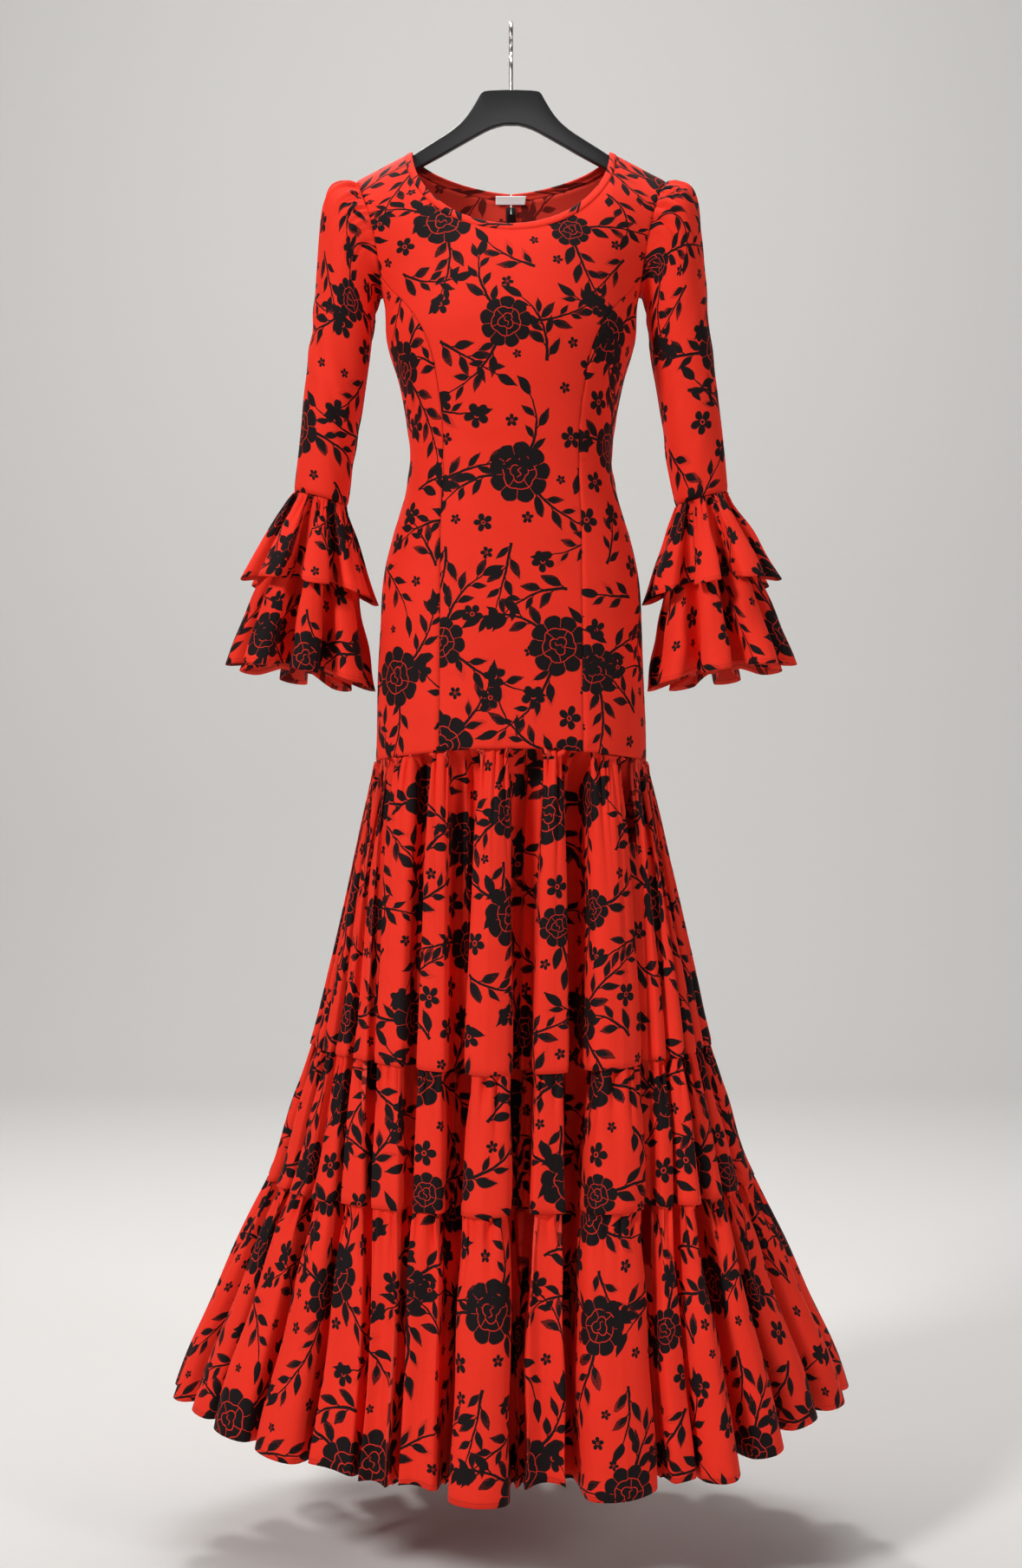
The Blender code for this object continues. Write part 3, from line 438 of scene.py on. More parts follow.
def run_along(points, axis):
    """Distance along the grid from its first row or column."""
    lengths = np.cumsum(steps_between(points, axis), axis=axis)
    return np.concatenate([np.zeros_like(lengths.take([0], axis=axis)), lengths], axis=axis)


def normals_of(grid, closed=False):
    """Outward directions at a grid's points. Rows run to the right as seen from outside, the lowest first."""
    if closed:
        right = np.roll(grid, -1, axis=1) - np.roll(grid, 1, axis=1)
    else:
        right = np.gradient(grid, axis=1)
    out = np.cross(right, np.gradient(grid, axis=0))
    return out / np.maximum(np.linalg.norm(out, axis=-1, keepdims=True), 1e-9)


def pushed(grid, shift, closed=False):
    return grid + normals_of(grid, closed) * shift[..., None]


def ripple(a, b, seed, count=9, wave=(30.0, 90.0), stretch=(1.0, 1.0)):
    """Smooth unevenness between about -1 and 1 over two distances, as hand-laid cloth has."""
    rng = np.random.default_rng(seed)
    total = np.zeros(np.broadcast(a, b).shape)
    for _ in range(count):
        turn = rng.uniform(0, 2 * math.pi)
        rate = 2 * math.pi / rng.uniform(*wave)
        along = a * math.cos(turn) / stretch[0] + b * math.sin(turn) / stretch[1]
        total = total + np.sin(rate * along + rng.uniform(0, 2 * math.pi))
    return total / math.sqrt(count)


INWARD = (-1.0,)
PLEAT_SHIFT = (-0.4, 0.4)  # how far a pleat strays from even spacing, in pleats
PLEAT_WIDTHS = (0.55, 1.5)
PLEAT_SIZES = (0.4, 1.0)  # shares of the full reach, and of the full depth
PLEAT_LEAN = (-0.05, 0.05)
PLEAT_GROWTH = (0.9, 30)  # how much wider a pleat grows on its way down
PLEAT_POWERS = (1.35, 1.6)  # of its section across, and of its fading downward
PLEAT_START = 2.5  # distance from the seam over which pleats rise


def gathers(along, down, total, seed, count, width, depth, reach, ways=(-1.3, -1.3, 0.9)):
    """Outward shift of small pleats that start at a seam and die out below it. ways says how many of them
    rise and how many are sharp creases inward."""
    rng = np.random.default_rng(seed)
    shift = np.zeros(down.shape)
    for k in range(count):
        at = total * (k + rng.uniform(*PLEAT_SHIFT)) / count
        wide = width * rng.uniform(*PLEAT_WIDTHS)
        far = reach * rng.uniform(*PLEAT_SIZES)
        high = depth * rng.uniform(*PLEAT_SIZES) * rng.choice(ways)
        off = (along - at - rng.uniform(*PLEAT_LEAN) * down + total / 2) % total - total / 2
        wide = wide * (1 + PLEAT_GROWTH[0] * down / (far + PLEAT_GROWTH[1]))
        section, fading = PLEAT_POWERS
        shift += high * np.exp(-(np.abs(off / wide) ** section)) * np.exp(-((down / far) ** fading))
    return shift * (1 - np.exp(-down / PLEAT_START))


def seam_dip(distance, depth=0.9, width=1.6):
    """Inward shift beside a seam."""
    return -depth * np.exp(-((distance / width) ** 2))


# ---------------------------------------------------------------- the print's repeat
TILE = (520.0, 600.0)  # millimetres of one repeat, across and down the cloth
ROSE_RADIUS = 29.0
LAYERS = ("rose", "blossom", "sprig_a", "sprig_b", "sprig_c", "sprig_d")
ANY_TURN = (0, 6.28)
ROSE_SIZES = (0.8, 1.0, 1.08, 1.18)
SPRIGS_PER_ROSE = 3
SPRIG_SPACING = (2.1, 0.35)  # radians between a rose's sprigs, and how far each strays
SPRIG_LENGTHS = (62, 108)
SPRIG_BENDS = (0.4, 1.1)
LOOSE_SPRIG = (ANY_TURN, (48, 80), (-1.0, 1.0))  # limits of its turn, length and bend
TIP_BLOSSOM_SHARE = 0.55
TIP_BLOSSOM_GAP = (0.5, 1.0)
TIP_BLOSSOM_SIZES = (12, 16)
LOOSE_BLOSSOM_SIZES = (11, 15)
BUD_SIZES = (5, 7.5)
CELL = 2.0  # millimetres: how finely the repeat is mapped


def spread(rng, count, others, least, tries=60):
    """Points set well apart from each other and from others, over the repeat."""
    found = []
    for _ in range(count):
        best, best_gap = None, -1e9
        for _ in range(tries):
            point = rng.uniform((0, 0), TILE)
            gaps = [gap_between(point, p) / least for p in found]
            gaps += [gap_between(point, p) / room for p, room in others]
            gap = min(gaps, default=9)
            if gap > best_gap:
                best, best_gap = point, gap
        found.append(best)
    return found


def gap_between(a, b):
    off = (np.asarray(a) - b + np.array(TILE) / 2) % TILE - np.array(TILE) / 2
    return float(np.hypot(*off))


def sprig_points(base, turn, length, bend):
    """Middle line of a bent sprig."""
    s = np.linspace(0, 1, 7)
    turns = turn + bend * s
    step = length / 6
    dx, dy = np.cumsum(np.cos(turns)[:-1]) * step, np.cumsum(np.sin(turns)[:-1]) * step
    return np.stack([base[0] + np.append(0, dx), base[1] + np.append(0, dy)], axis=-1)


def print_repeat(seed=11):
    """Motifs of the repeat: roses with sprigs growing from under them, small blossoms at the tips, and loose
    sprigs, blossoms and buds in the gaps. Each has its place, turn and size, and a sprig its bend."""
    rng = np.random.default_rng(seed)
    motifs = {layer: [] for layer in LAYERS}
    roses = spread(rng, 15, [], 1.0)
    sprigs = []
    for rose in roses:
        radius = ROSE_RADIUS * rng.choice(ROSE_SIZES)
        motifs["rose"].append(dict(at=rose, turn=rng.uniform(*ANY_TURN), size=radius))
        first = rng.uniform(*ANY_TURN)
        step, stray = SPRIG_SPACING
        for k in range(SPRIGS_PER_ROSE):
            turn = first + k * step + rng.uniform(-stray, stray)
            base = rose + np.array([math.cos(turn), math.sin(turn)]) * radius * 0.8
            size = rng.uniform(*SPRIG_LENGTHS)
            bend = rng.uniform(*SPRIG_BENDS) * rng.choice((-1, 1))
            sprigs.append(dict(at=base, turn=turn, size=size, bend=bend))
    busy = [(p, 1.0) for m in sprigs for p in sprig_points(m["at"], m["turn"], m["size"], m["bend"])]
    busy += [(rose, 1.4) for rose in roses]
    for point in spread(rng, 24, busy, 1.6, tries=140):
        turn, size, bend = (rng.uniform(*limits) for limits in LOOSE_SPRIG)
        sprigs.append(dict(at=point, turn=turn, size=size, bend=bend))
    lines = {layer: [] for layer in LAYERS[2:]}
    for sprig in sprigs:
        points = sprig_points(sprig["at"], sprig["turn"], sprig["size"], sprig["bend"])
        room = {
            layer: min((gap_between(p, q) for line in taken for p in points for q in line), default=1e3)
            for layer, taken in lines.items()
        }
        layer = max(room, key=room.get)
        lines[layer].append(points)
        motifs[layer].append(sprig)
        if rng.random() < TIP_BLOSSOM_SHARE:
            tip = points[-1] + (points[-1] - points[-2]) * rng.uniform(*TIP_BLOSSOM_GAP)
            turn, size = rng.uniform(*ANY_TURN), rng.uniform(*TIP_BLOSSOM_SIZES)
            motifs["blossom"].append(dict(at=tip % TILE, turn=turn, size=size))
    busy = [(p, 1.0) for line in sum(lines.values(), []) for p in line] + [(rose, 1.5) for rose in roses]
    busy += [(m["at"], 1.5) for m in motifs["blossom"]]
    for point in spread(rng, 12, busy, 1.5, tries=140):
        turn, size = rng.uniform(*ANY_TURN), rng.uniform(*LOOSE_BLOSSOM_SIZES)
        motifs["blossom"].append(dict(at=point, turn=turn, size=size))
    # small buds in what gaps are left
    busy += [(m["at"], 1.2) for m in motifs["blossom"]]
    for point in spread(rng, 40, busy, 1.0, tries=60):
        turn, size = rng.uniform(*ANY_TURN), rng.uniform(*BUD_SIZES)
        motifs["blossom"].append(dict(at=point, turn=turn, size=size))
    return motifs


def nearest_motif(centres, motifs):
    """Index of each face's motif, and the repeat's shift that brings it there."""
    tile = np.array(TILE)
    best = np.full(len(centres), np.inf)
    index = np.zeros(len(centres), int)
    base = np.zeros((len(centres), 2))
    for k, motif in enumerate(motifs):
        points = [motif["at"]]
        if "bend" in motif:
            points = sprig_points(motif["at"], motif["turn"], motif["size"] + 16, motif["bend"])
            points = np.concatenate([points, (points[1:] + points[:-1]) / 2])
        reach = 1.0 if "bend" in motif else motif["size"]
        for point in points:
            turns = np.round((centres - point) / tile)
            off = np.hypot(*(centres - point - turns * tile).T) / reach
            nearer = off < best
            best[nearer] = off[nearer]
            index[nearer] = k
            # the shift is taken from the motif's own place, so a sprig over the repeat's edge stays whole
            base[nearer] = turns[nearer] * tile + motif["at"]
    return index, base


def local_places(flat, index, base, motifs):
    """Each corner's place in its motif's own frame: in sizes for a flower, and in millimetres along and
    across the unbent stem for a sprig, whose length is the third number."""
    turn = np.array([m["turn"] for m in motifs])[index][:, None]
    size = np.array([m["size"] for m in motifs])[index][:, None]
    off = flat - base[:, None, :]
    x = off[..., 0] * np.cos(turn) + off[..., 1] * np.sin(turn)
    y = -off[..., 0] * np.sin(turn) + off[..., 1] * np.cos(turn)
    if "bend" not in motifs[0]:
        return np.stack([x / size, y / size, np.broadcast_to(size, x.shape)], axis=-1)
    bend = np.array([m["bend"] for m in motifs])[index][:, None]
    curve = bend / size
    curve = np.where(np.abs(curve) < 1e-5, 1e-5, curve)
    # distance along and across a circular arc that starts at the origin, heading along x
    radius = 1 / curve
    side = np.sign(radius)
    angle = np.arctan2(x, (radius - y) * side)
    along = angle * np.abs(radius)
    across = (np.abs(radius) - np.hypot(x, radius - y)) * side
    return np.stack([along, across, np.broadcast_to(size, x.shape)], axis=-1)


def print_map(motifs):
    """For each cell of the repeat: the layer's nearest motif, and its place for the cell."""
    cells = [np.arange(CELL / 2, size, CELL) for size in TILE]
    x, y = np.meshgrid(*cells, indexing="ij")
    index, base = nearest_motif(np.stack([x.ravel(), y.ravel()], axis=-1), motifs)
    return index.reshape(x.shape), base.reshape(*x.shape, 2)


def look_up(centres, mapped):
    """The nearest motif of each face, and its place, from the repeat's map."""
    index, base = mapped
    turns = np.floor(centres / TILE)
    cell = ((centres - turns * TILE) / CELL).astype(int)
    cell = np.minimum(cell, np.array(index.shape) - 1)
    return index[cell[:, 0], cell[:, 1]], base[cell[:, 0], cell[:, 1]] + turns * TILE


PRINT = print_repeat()
PRINT_MAPS = {layer: print_map(motifs) for layer, motifs in PRINT.items()}




# ---------------------------------------------------------------- meshes
def new_mesh(name, vertices, faces):
    """A mesh from arrays of points in millimetres and of four-cornered faces."""
    mesh = bpy.data.meshes.new(name)
    mesh.vertices.add(len(vertices))
    mesh.vertices.foreach_set("co", (vertices * MM).astype(np.float32).ravel())
    mesh.loops.add(faces.size)
    mesh.loops.foreach_set("vertex_index", faces.astype(np.int32).ravel())
    mesh.polygons.add(len(faces))
    mesh.polygons.foreach_set("loop_start", np.arange(0, faces.size, 4, dtype=np.int32))
    mesh.update(calc_edges=True)
    mesh.validate()
    return mesh


def corner_attribute(mesh, name, values):
    """Stores three numbers for each corner of the faces."""
    made = mesh.attributes.new(name, "FLOAT_VECTOR", "CORNER")
    made.data.foreach_set("vector", values.astype(np.float32).ravel())


def add_cloth(name, grid, flat, edge, finish, node, closed=False, wall=0.9):
    """A piece of cloth through a grid of points. flat gives each point's place on the uncut cloth, and edge
    its distance from the piece's finished edge. A closed grid's flat and edge have one column more."""
    rows, columns = grid.shape[:2]
    across = columns if closed else columns - 1
    i, j = np.meshgrid(np.arange(rows - 1), np.arange(across), indexing="ij")
    i, j = i.ravel(), j.ravel()
    following = (j + 1) % columns
    low, high = i * columns, (i + 1) * columns
    faces = np.stack([low + j, low + following, high + following, high + j], axis=-1)
    mesh = new_mesh(name + "_cloth", grid.reshape(-1, 3), faces)
    corners = [(i, j), (i, j + 1), (i + 1, j + 1), (i + 1, j)]
    places = np.stack([flat[a, b] for a, b in corners], axis=1)
    edges = np.stack([edge[a, b] for a, b in corners], axis=1)
    centres = places.mean(axis=1)
    for layer, motifs in PRINT.items():
        index, base = look_up(centres, PRINT_MAPS[layer])
        corner_attribute(mesh, layer, local_places(places, index, base, motifs))
    corner_attribute(mesh, "cloth", np.concatenate([places, edges[..., None]], axis=-1))
    made = bpy.data.objects.new(name + "_cloth", mesh)
    bpy.context.scene.collection.objects.link(made)
    mesh.shade_smooth()
    for material in finish:
        mesh.materials.append(material)
    solid = made.modifiers.new("Wall", "SOLIDIFY")
    solid.thickness = wall * MM
    solid.offset = 0
    if len(finish) > 1:
        solid.material_offset = 1
    apply_modifiers(made)
    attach(made, BODY_NAME)
    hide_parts(node)
    return made


def apply_modifiers(made):
    """Applies the piece's modifiers from first to last."""
    bpy.ops.object.select_all(action="DESELECT")
    made.select_set(True)
    bpy.context.view_layer.objects.active = made
    for modifier in list(made.modifiers):
        bpy.ops.object.modifier_apply(modifier=modifier.name)
    made.select_set(False)


# ---------------------------------------------------------------- materials
def linear(code):
    """A linear colour from an sRGB hex code."""
    parts = [int(code[i : i + 2], 16) / 255 for i in (1, 3, 5)]
    return tuple(c / 12.92 if c <= 0.04045 else ((c + 0.055) / 1.055) ** 2.4 for c in parts) + (1.0,)


def node(tree, kind, *links, out=0, **settings):
    """Adds a node, sets it up and joins its inputs; returns one of its outputs. A link is a socket, or a
    value for the input of the same place, and None leaves that input alone. A kind in small letters is a
    sum."""
    if kind.islower():
        kind, settings = "ShaderNodeMath", dict(settings, operation=kind.upper())
    made = tree.nodes.new(kind)
    for key, value in settings.items():
        setattr(made, key, value)
    for place, link in enumerate(links):
        if isinstance(link, bpy.types.NodeSocket):
            tree.links.new(link, made.inputs[place])
        elif link is not None:
            made.inputs[place].default_value = link
    return made.outputs[out]


def below(n, value, limit, soft):
    """1 where the value is under the limit, with an edge this soft."""
    return n("multiply_add", n("subtract", limit, value), 1 / soft, 0.5, use_clamp=True)


# ---------------------------------------------------------------- the print's ink
# In a rose or a blossom, lengths are shares of its radius.
WOBBLE = {"rose": 0.12, "blossom": 0.2, "sprig": 3.5}
ROSE_PETALS = 9
ROSE_NOTCH = 0.2
ROSE_ROUNDNESS = 0.45
# The rings of petals inside it: half their number, their turn, how deep their notches are and where they end.
ROSE_RINGS = ((2.5, 0.6, 0.07, 0.5), (1.5, 0.4, 0.12, 0.2))
RED_LINE = (0.013, 0.022)  # half its width, and how soft its edge is
OUTER_RAY = (0.03, 0.025)
OUTER_RAYS_FROM = 0.56
MIDDLE_RAY = (0.022, 0.03)
HEART_REACH = (0.17, 0.04)
BLOSSOM_PETALS = 5
BLOSSOM_NOTCH = 0.72
BLOSSOM_WAIST = 0.26
BLOSSOM_ROUNDNESS = 0.55
BLOSSOM_EYE = 0.17
EYE_LINE = (0.035, 0.07)
# In a sprig, lengths are in millimetres.
STEM_AT_FOOT = 1.8  # half
STEM_TAPER = -1.1
LEAF_PITCH = 24.0  # along a sprig, between two leaves of one side
LEAF_LENGTH = 31.0
LEAF_WIDTH = 5.1  # half
LEAF_STALK = 5.0
LEAF_TURN = 0.62  # radians off the stem
LEAF_SIZES = (0.5, 0.62)  # how much they differ by chance, and the least
BARE_TIP = 20.0
TIP_LEAF_BACK = 8.0


def read_layer(tree, layer):
    """(x, y, third number) of a layer of the print at this point."""
    place = node(tree, "ShaderNodeAttribute", attribute_name=layer, out=1)
    return tuple(node(tree, "ShaderNodeSeparateXYZ", place).node.outputs)


def wobbled(n, x, y, wobble, size):
    """The place, shifted a little so that no edge of the print is drawn with a compass."""
    return n("add", x, n("multiply", wobble[0], size)), n("add", y, n("multiply", wobble[1], size))


def rose_mask(tree, wobble):
    """A full rose: nine round petals, closer rings of petals within, and fine red lines between them."""
    n = functools.partial(node, tree)
    x, y, _ = read_layer(tree, "rose")
    x, y = wobbled(n, x, y, wobble, WOBBLE["rose"])
    r = n("sqrt", n("add", n("multiply", x, x), n("multiply", y, y)))
    turn = n("arctan2", y, x)
    petal = n("absolute", n("cosine", n("multiply", turn, ROSE_PETALS / 2)))
    rim = n("multiply_add", n("power", petal, ROSE_ROUNDNESS), ROSE_NOTCH, 1 - ROSE_NOTCH)
    flower = below(n, r, rim, 0.03)
    # lines, each a ring or a ray, about 1.1 mm wide on the largest rose
    rays = n("multiply", n("absolute", n("cosine", n("multiply", turn, ROSE_PETALS / 2))), r)
    outer_rays = below(n, rays, *OUTER_RAY)
    outer_rays = n("multiply", outer_rays, n("subtract", 1, below(n, r, OUTER_RAYS_FROM, 0.02)))
    rings, ring_lines = [], []
    for half_count, offset, notch, radius in ROSE_RINGS:
        wave = n("absolute", n("cosine", n("multiply_add", turn, half_count, offset)))
        rings.append(n("multiply_add", wave, notch, radius))
        ring_lines.append(below(n, n("absolute", n("subtract", r, rings[-1])), *RED_LINE))
    middle = n("multiply", n("absolute", n("sine", n("multiply_add", turn, ROSE_RINGS[0][0], 0.25))), r)
    middle = below(n, middle, *MIDDLE_RAY)
    between = n("multiply", below(n, rings[1], r, 0.02), below(n, r, rings[0], 0.02))
    middle_rays = n("multiply", middle, between)
    heart_x = n("add", x, n("multiply", n("sine", n("multiply", y, 22)), 0.05))
    heart = n("multiply", below(n, n("absolute", heart_x), *RED_LINE), below(n, r, *HEART_REACH))
    outside = n("maximum", outer_rays, ring_lines[0])
    inside = n("maximum", ring_lines[1], n("maximum", middle_rays, heart))
    return n("multiply", flower, n("subtract", 1, n("maximum", outside, inside)))


def blossom_mask(tree, wobble):
    """A small five-petalled blossom with a red eye."""
    n = functools.partial(node, tree)
    x, y, _ = read_layer(tree, "blossom")
    x, y = wobbled(n, x, y, wobble, WOBBLE["blossom"])
    r = n("sqrt", n("add", n("multiply", x, x), n("multiply", y, y)))
    petal = n("absolute", n("cosine", n("multiply", n("arctan2", y, x), BLOSSOM_PETALS / 2)))
    rim = n("multiply_add", n("power", petal, BLOSSOM_ROUNDNESS), BLOSSOM_NOTCH, BLOSSOM_WAIST)
    eye = below(n, n("absolute", n("subtract", r, BLOSSOM_EYE)), *EYE_LINE)
    return n("multiply", below(n, r, rim, 0.08), n("subtract", 1, eye))


def sprig_mask(tree, layer, wobble):
    """A stem with leaves by turns on its two sides and one at its tip."""
    n = functools.partial(node, tree)
    x, y, length = read_layer(tree, layer)
    x, y = wobbled(n, x, y, wobble, WOBBLE["sprig"])
    along = n("divide", x, length)
    stem = below(n, n("absolute", y), n("multiply_add", along, STEM_TAPER, STEM_AT_FOOT), 0.5)
    reach = n("multiply", below(n, n("multiply", x, -1), 2.0, 0.5), below(n, x, length, 0.5))
    stem = n("multiply", stem, reach)
    side = n("sign", y)
    # leaves on the second side start half a pitch further on
    start = n("multiply_add", side, LEAF_PITCH / 4, LEAF_PITCH / 4)
    place = n("divide", n("subtract", x, start), LEAF_PITCH)
    cell = n("floor", place)
    near = n("multiply", n("subtract", place, cell), LEAF_PITCH)
    leaf_number = n("ShaderNodeCombineXYZ", cell, side, length)
    chance = n("ShaderNodeTexWhiteNoise", leaf_number, noise_dimensions="3D")
    shrink = n("multiply_add", chance, *LEAF_SIZES)
    shrink = n("multiply", shrink, n("multiply_add", along, -0.3, 1.1))
    away = n("absolute", y)
    cos, sin = math.cos(LEAF_TURN), math.sin(LEAF_TURN)
    leaf_x = n("divide", n("multiply_add", near, cos, n("multiply", away, sin)), shrink)
    leaf_y = n("divide", n("subtract", n("multiply", away, cos), n("multiply", near, sin)), shrink)
    leaf = leaf_shape(n, leaf_x, leaf_y, 0.5)
    after_foot = below(n, n("multiply", cell, -1), 0.5, 0.1)
    before_tip = below(n, n("multiply", cell, LEAF_PITCH), n("subtract", length, BARE_TIP), 0.1)
    leaf = n("multiply", leaf, n("multiply", after_foot, before_tip))
    tip = leaf_shape(n, n("subtract", x, n("subtract", length, TIP_LEAF_BACK)), y, 0.5)
    return n("maximum", stem, n("maximum", leaf, tip))


def leaf_shape(n, x, y, soft):
    """A leaf on a short stalk, from the origin along x: broad before its middle, and pointed."""
    share = n("divide", n("subtract", x, LEAF_STALK), LEAF_LENGTH - LEAF_STALK, use_clamp=True)
    belly = n("multiply", n("sine", n("multiply", n("power", share, 0.8), math.pi)), LEAF_WIDTH)
    inside = n("maximum", belly, 0.75)
    blade = below(n, n("absolute", y), inside, soft)
    reach = n("multiply", below(n, x, LEAF_LENGTH, soft), below(n, n("multiply", x, -1), 0.5, soft))
    return n("multiply", blade, reach)


# dark red-brown of the stitch lines, which is also painted shade in the seams' creases
STITCH_AND_CREASE_SHADE = "#4A1512"
SHEEN_TINT = "#FF8A70"


def crepe(name, code, print_code, rough, shade):
    """Woven polyester crepe, piece-dyed and screen-printed: matt, with a fine pebbled face that scatters the
    light, a soft sheen at grazing angles, and print that lies in the cloth without a shine of its own."""
    material = bpy.data.materials.new(name)
    material.use_nodes = True
    tree = material.node_tree
    surface = tree.nodes["Principled BSDF"]
    n = functools.partial(node, tree)
    cloth = n("ShaderNodeAttribute", attribute_name="cloth", out=1)
    along, down, edge = n("ShaderNodeSeparateXYZ", cloth).node.outputs
    flat = n("ShaderNodeCombineXYZ", along, down)
    uneven = n("ShaderNodeTexNoise", flat, None, 0.055, 2.0, noise_dimensions="2D", out=1)
    shifts = n("ShaderNodeSeparateColor", uneven).node.outputs
    wobble = (n("subtract", shifts[0], 0.5), n("subtract", shifts[1], 0.5))
    ink = n("maximum", rose_mask(tree, wobble), blossom_mask(tree, wobble))
    for layer in LAYERS[2:]:
        ink = n("maximum", ink, sprig_mask(tree, layer, wobble))
    # dye takes a little unevenly, over some 40 mm and from thread to thread
    drift = n("ShaderNodeTexNoise", flat, None, 0.025, 3.0, noise_dimensions="2D")
    thread = n("ShaderNodeTexNoise", flat, None, 1.1, 2.0, noise_dimensions="2D")
    tone = n("multiply_add", drift, 0.12, n("multiply_add", thread, 0.1, 0.89))
    grey = n("ShaderNodeCombineColor", tone, tone, tone)
    mix = functools.partial(n, "ShaderNodeMix", data_type="RGBA", out=2)
    skip = (None,) * 5
    red = mix(1.0, *skip, linear(code), grey, blend_type="MULTIPLY")
    # the stitching of hems and seams, its darkness partly painted shade: a thin dark line of stitches 2.5 mm
    # long, at STITCH_IN from the edge, which on the bodice's seams stands for the shade in their creases
    near_row = below(n, n("absolute", n("subtract", edge, STITCH_IN)), 0.35, 0.4)
    stitch_and_shade_dashes = below(n, n("absolute", n("sine", n("multiply", along, 1.25))), 0.93, 0.3)
    stitch_and_shade = n("multiply", near_row, stitch_and_shade_dashes)
    stitched_and_shaded = mix(n("multiply", stitch_and_shade, 0.45), *skip, red, linear(STITCH_AND_CREASE_SHADE), blend_type="MIX")
    printed = mix(n("multiply", ink, shade), *skip, stitched_and_shaded, linear(print_code))
    tree.links.new(printed, surface.inputs["Base Color"])
    surface.inputs["Roughness"].default_value = rough
    surface.inputs["Specular IOR Level"].default_value = 0.18
    surface.inputs["Sheen Weight"].default_value = 0.06
    surface.inputs["Sheen Roughness"].default_value = 0.45
    surface.inputs["Sheen Tint"].default_value = linear(SHEEN_TINT)
    # crepe's pebbles are about 0.4 mm across; drawn at 1.2 mm so that they show at all
    pebble = n("ShaderNodeTexNoise", flat, None, 0.8, 3.0, noise_dimensions="2D")
    bump = n("ShaderNodeBump")
    bump.node.inputs["Strength"].default_value = 0.25
    bump.node.inputs["Distance"].default_value = 0.0004
    tree.links.new(pebble, bump.node.inputs["Height"])
    tree.links.new(bump, surface.inputs["Normal"])
    return material


# ---------------------------------------------------------------- sizes and colours
class DRESS_sizes(bpy.types.PropertyGroup):
    """Sizes of the cloth and its relief, in millimetres."""

    wall: bpy.props.FloatProperty(
        name="Cloth", description="Thickness of the crepe", default=0.9, min=0.3, max=1.5
    )
    gather_depth: bpy.props.FloatProperty(
        name="Gathers", description="Measure for the depth of the small pleats", default=3.6, min=0, max=5
    )
    slack: bpy.props.FloatProperty(
        name="Slack", description="Height of the unevenness of bodice and sleeves", default=0.8, min=0, max=3
    )


def colour(name, description, code):
    return bpy.props.StringProperty(name=name, description=description, default=code)


class DRESS_colours(bpy.types.PropertyGroup):
    """Colours as sRGB hex codes."""

    cloth: colour("Cloth", "Colour of the crepe's face", "#F2321F")
    # the reverse's red, paler than the face's: partly the cloth's back and partly painted light that lifts
    # the shade inside the back neck
    reverse: colour("Reverse", "Colour of the crepe's back", "#F04434")
    ink: colour("Print", "Colour of the printed flowers", "#150C0E")
    label: colour("Label", "Colour of the bare neck label", "#FDFCFA")
    plastic: colour("Hanger", "Colour of the hanger", "#181719")
    hook: colour("Hook", "Colour of the hook's steel", "#C9C5BE")


def crepe_pair():
    """The crepe's printed face and its reverse, where the print strikes through faintly. The reverse's red is
    partly painted light: paler than the face, to lift the shade inside.
    """
    found = bpy.data.materials
    colours = bpy.context.scene.dress_colours
    face = found.get("printed crepe") or crepe("printed crepe", colours.cloth, colours.ink, 0.78, 1.0)
    reverse = found.get("crepe reverse with painted light") or crepe("crepe reverse with painted light", colours.reverse, colours.ink, 0.85, 0.8)
    return face, reverse


def flat_of(grid, closed=False, corner=(0.0, 0.0), middle=None):
    """Each point's place on the uncut cloth: along its row from the middle column, and up from the lowest
    row."""
    full = np.concatenate([grid, grid[:, :1]], axis=1) if closed else grid
    across = run_along(full, 1)
    middle = full.shape[1] // 2 if middle is None else middle
    across = across - across[:, middle : middle + 1]
    up = run_along(full, 0)
    return np.stack([across + corner[0], up + corner[1]], axis=-1)


def body_flat(face, grid, corner):
    """Each point's place on the uncut cloth of a fitted panel: round the body from its middle, and up from
    the waist along the body."""
    x, z = grid[..., 0], grid[..., 2]
    rise = z - WAIST_HEIGHT
    share = np.linspace(0, 1, 15)
    round_body = at_surface(face, x[..., None] * share, z[..., None] + 0 * share)
    up_body = body_point(face, body_angle(x, z)[..., None], WAIST_HEIGHT + rise[..., None] * share)
    around, up = (steps_between(path, -2).sum(axis=-1) for path in (round_body, up_body))
    return np.stack([around * np.sign(x) + corner[0], up * np.sign(rise) + corner[1]], axis=-1)


def to_edges(flat, *sides):
    """Distance of each point from the nearest of the grid's named sides."""
    far = np.full(flat.shape[:2], NO_EDGE)
    x, y = flat[..., 0], flat[..., 1]
    found = {"low": y - y[:1], "top": y[-1:] - y, "left": x - x[:, :1], "right": x[:, -1:] - x}
    for side in sides:
        far = np.minimum(far, found[side])
    return far


DRAG_LINES_AT = (-512, 60)  # their height at the waist, and how far they reach up and down


def creases(grid, slack, seed):
    """The soft unevenness of a fitted bodice: level drag lines at the waist, little elsewhere."""
    z, x = grid[..., 2], grid[..., 0]
    waist = np.exp(-(((z - DRAG_LINES_AT[0]) / DRAG_LINES_AT[1]) ** 2))
    level = ripple(x, z, seed, 8, (24.0, 60.0), (6.0, 1.0)) * waist
    broad = ripple(x, z, seed + 1, 7, (70.0, 160.0), (1.0, 1.4))
    return slack * (0.7 * level + 0.5 * broad)


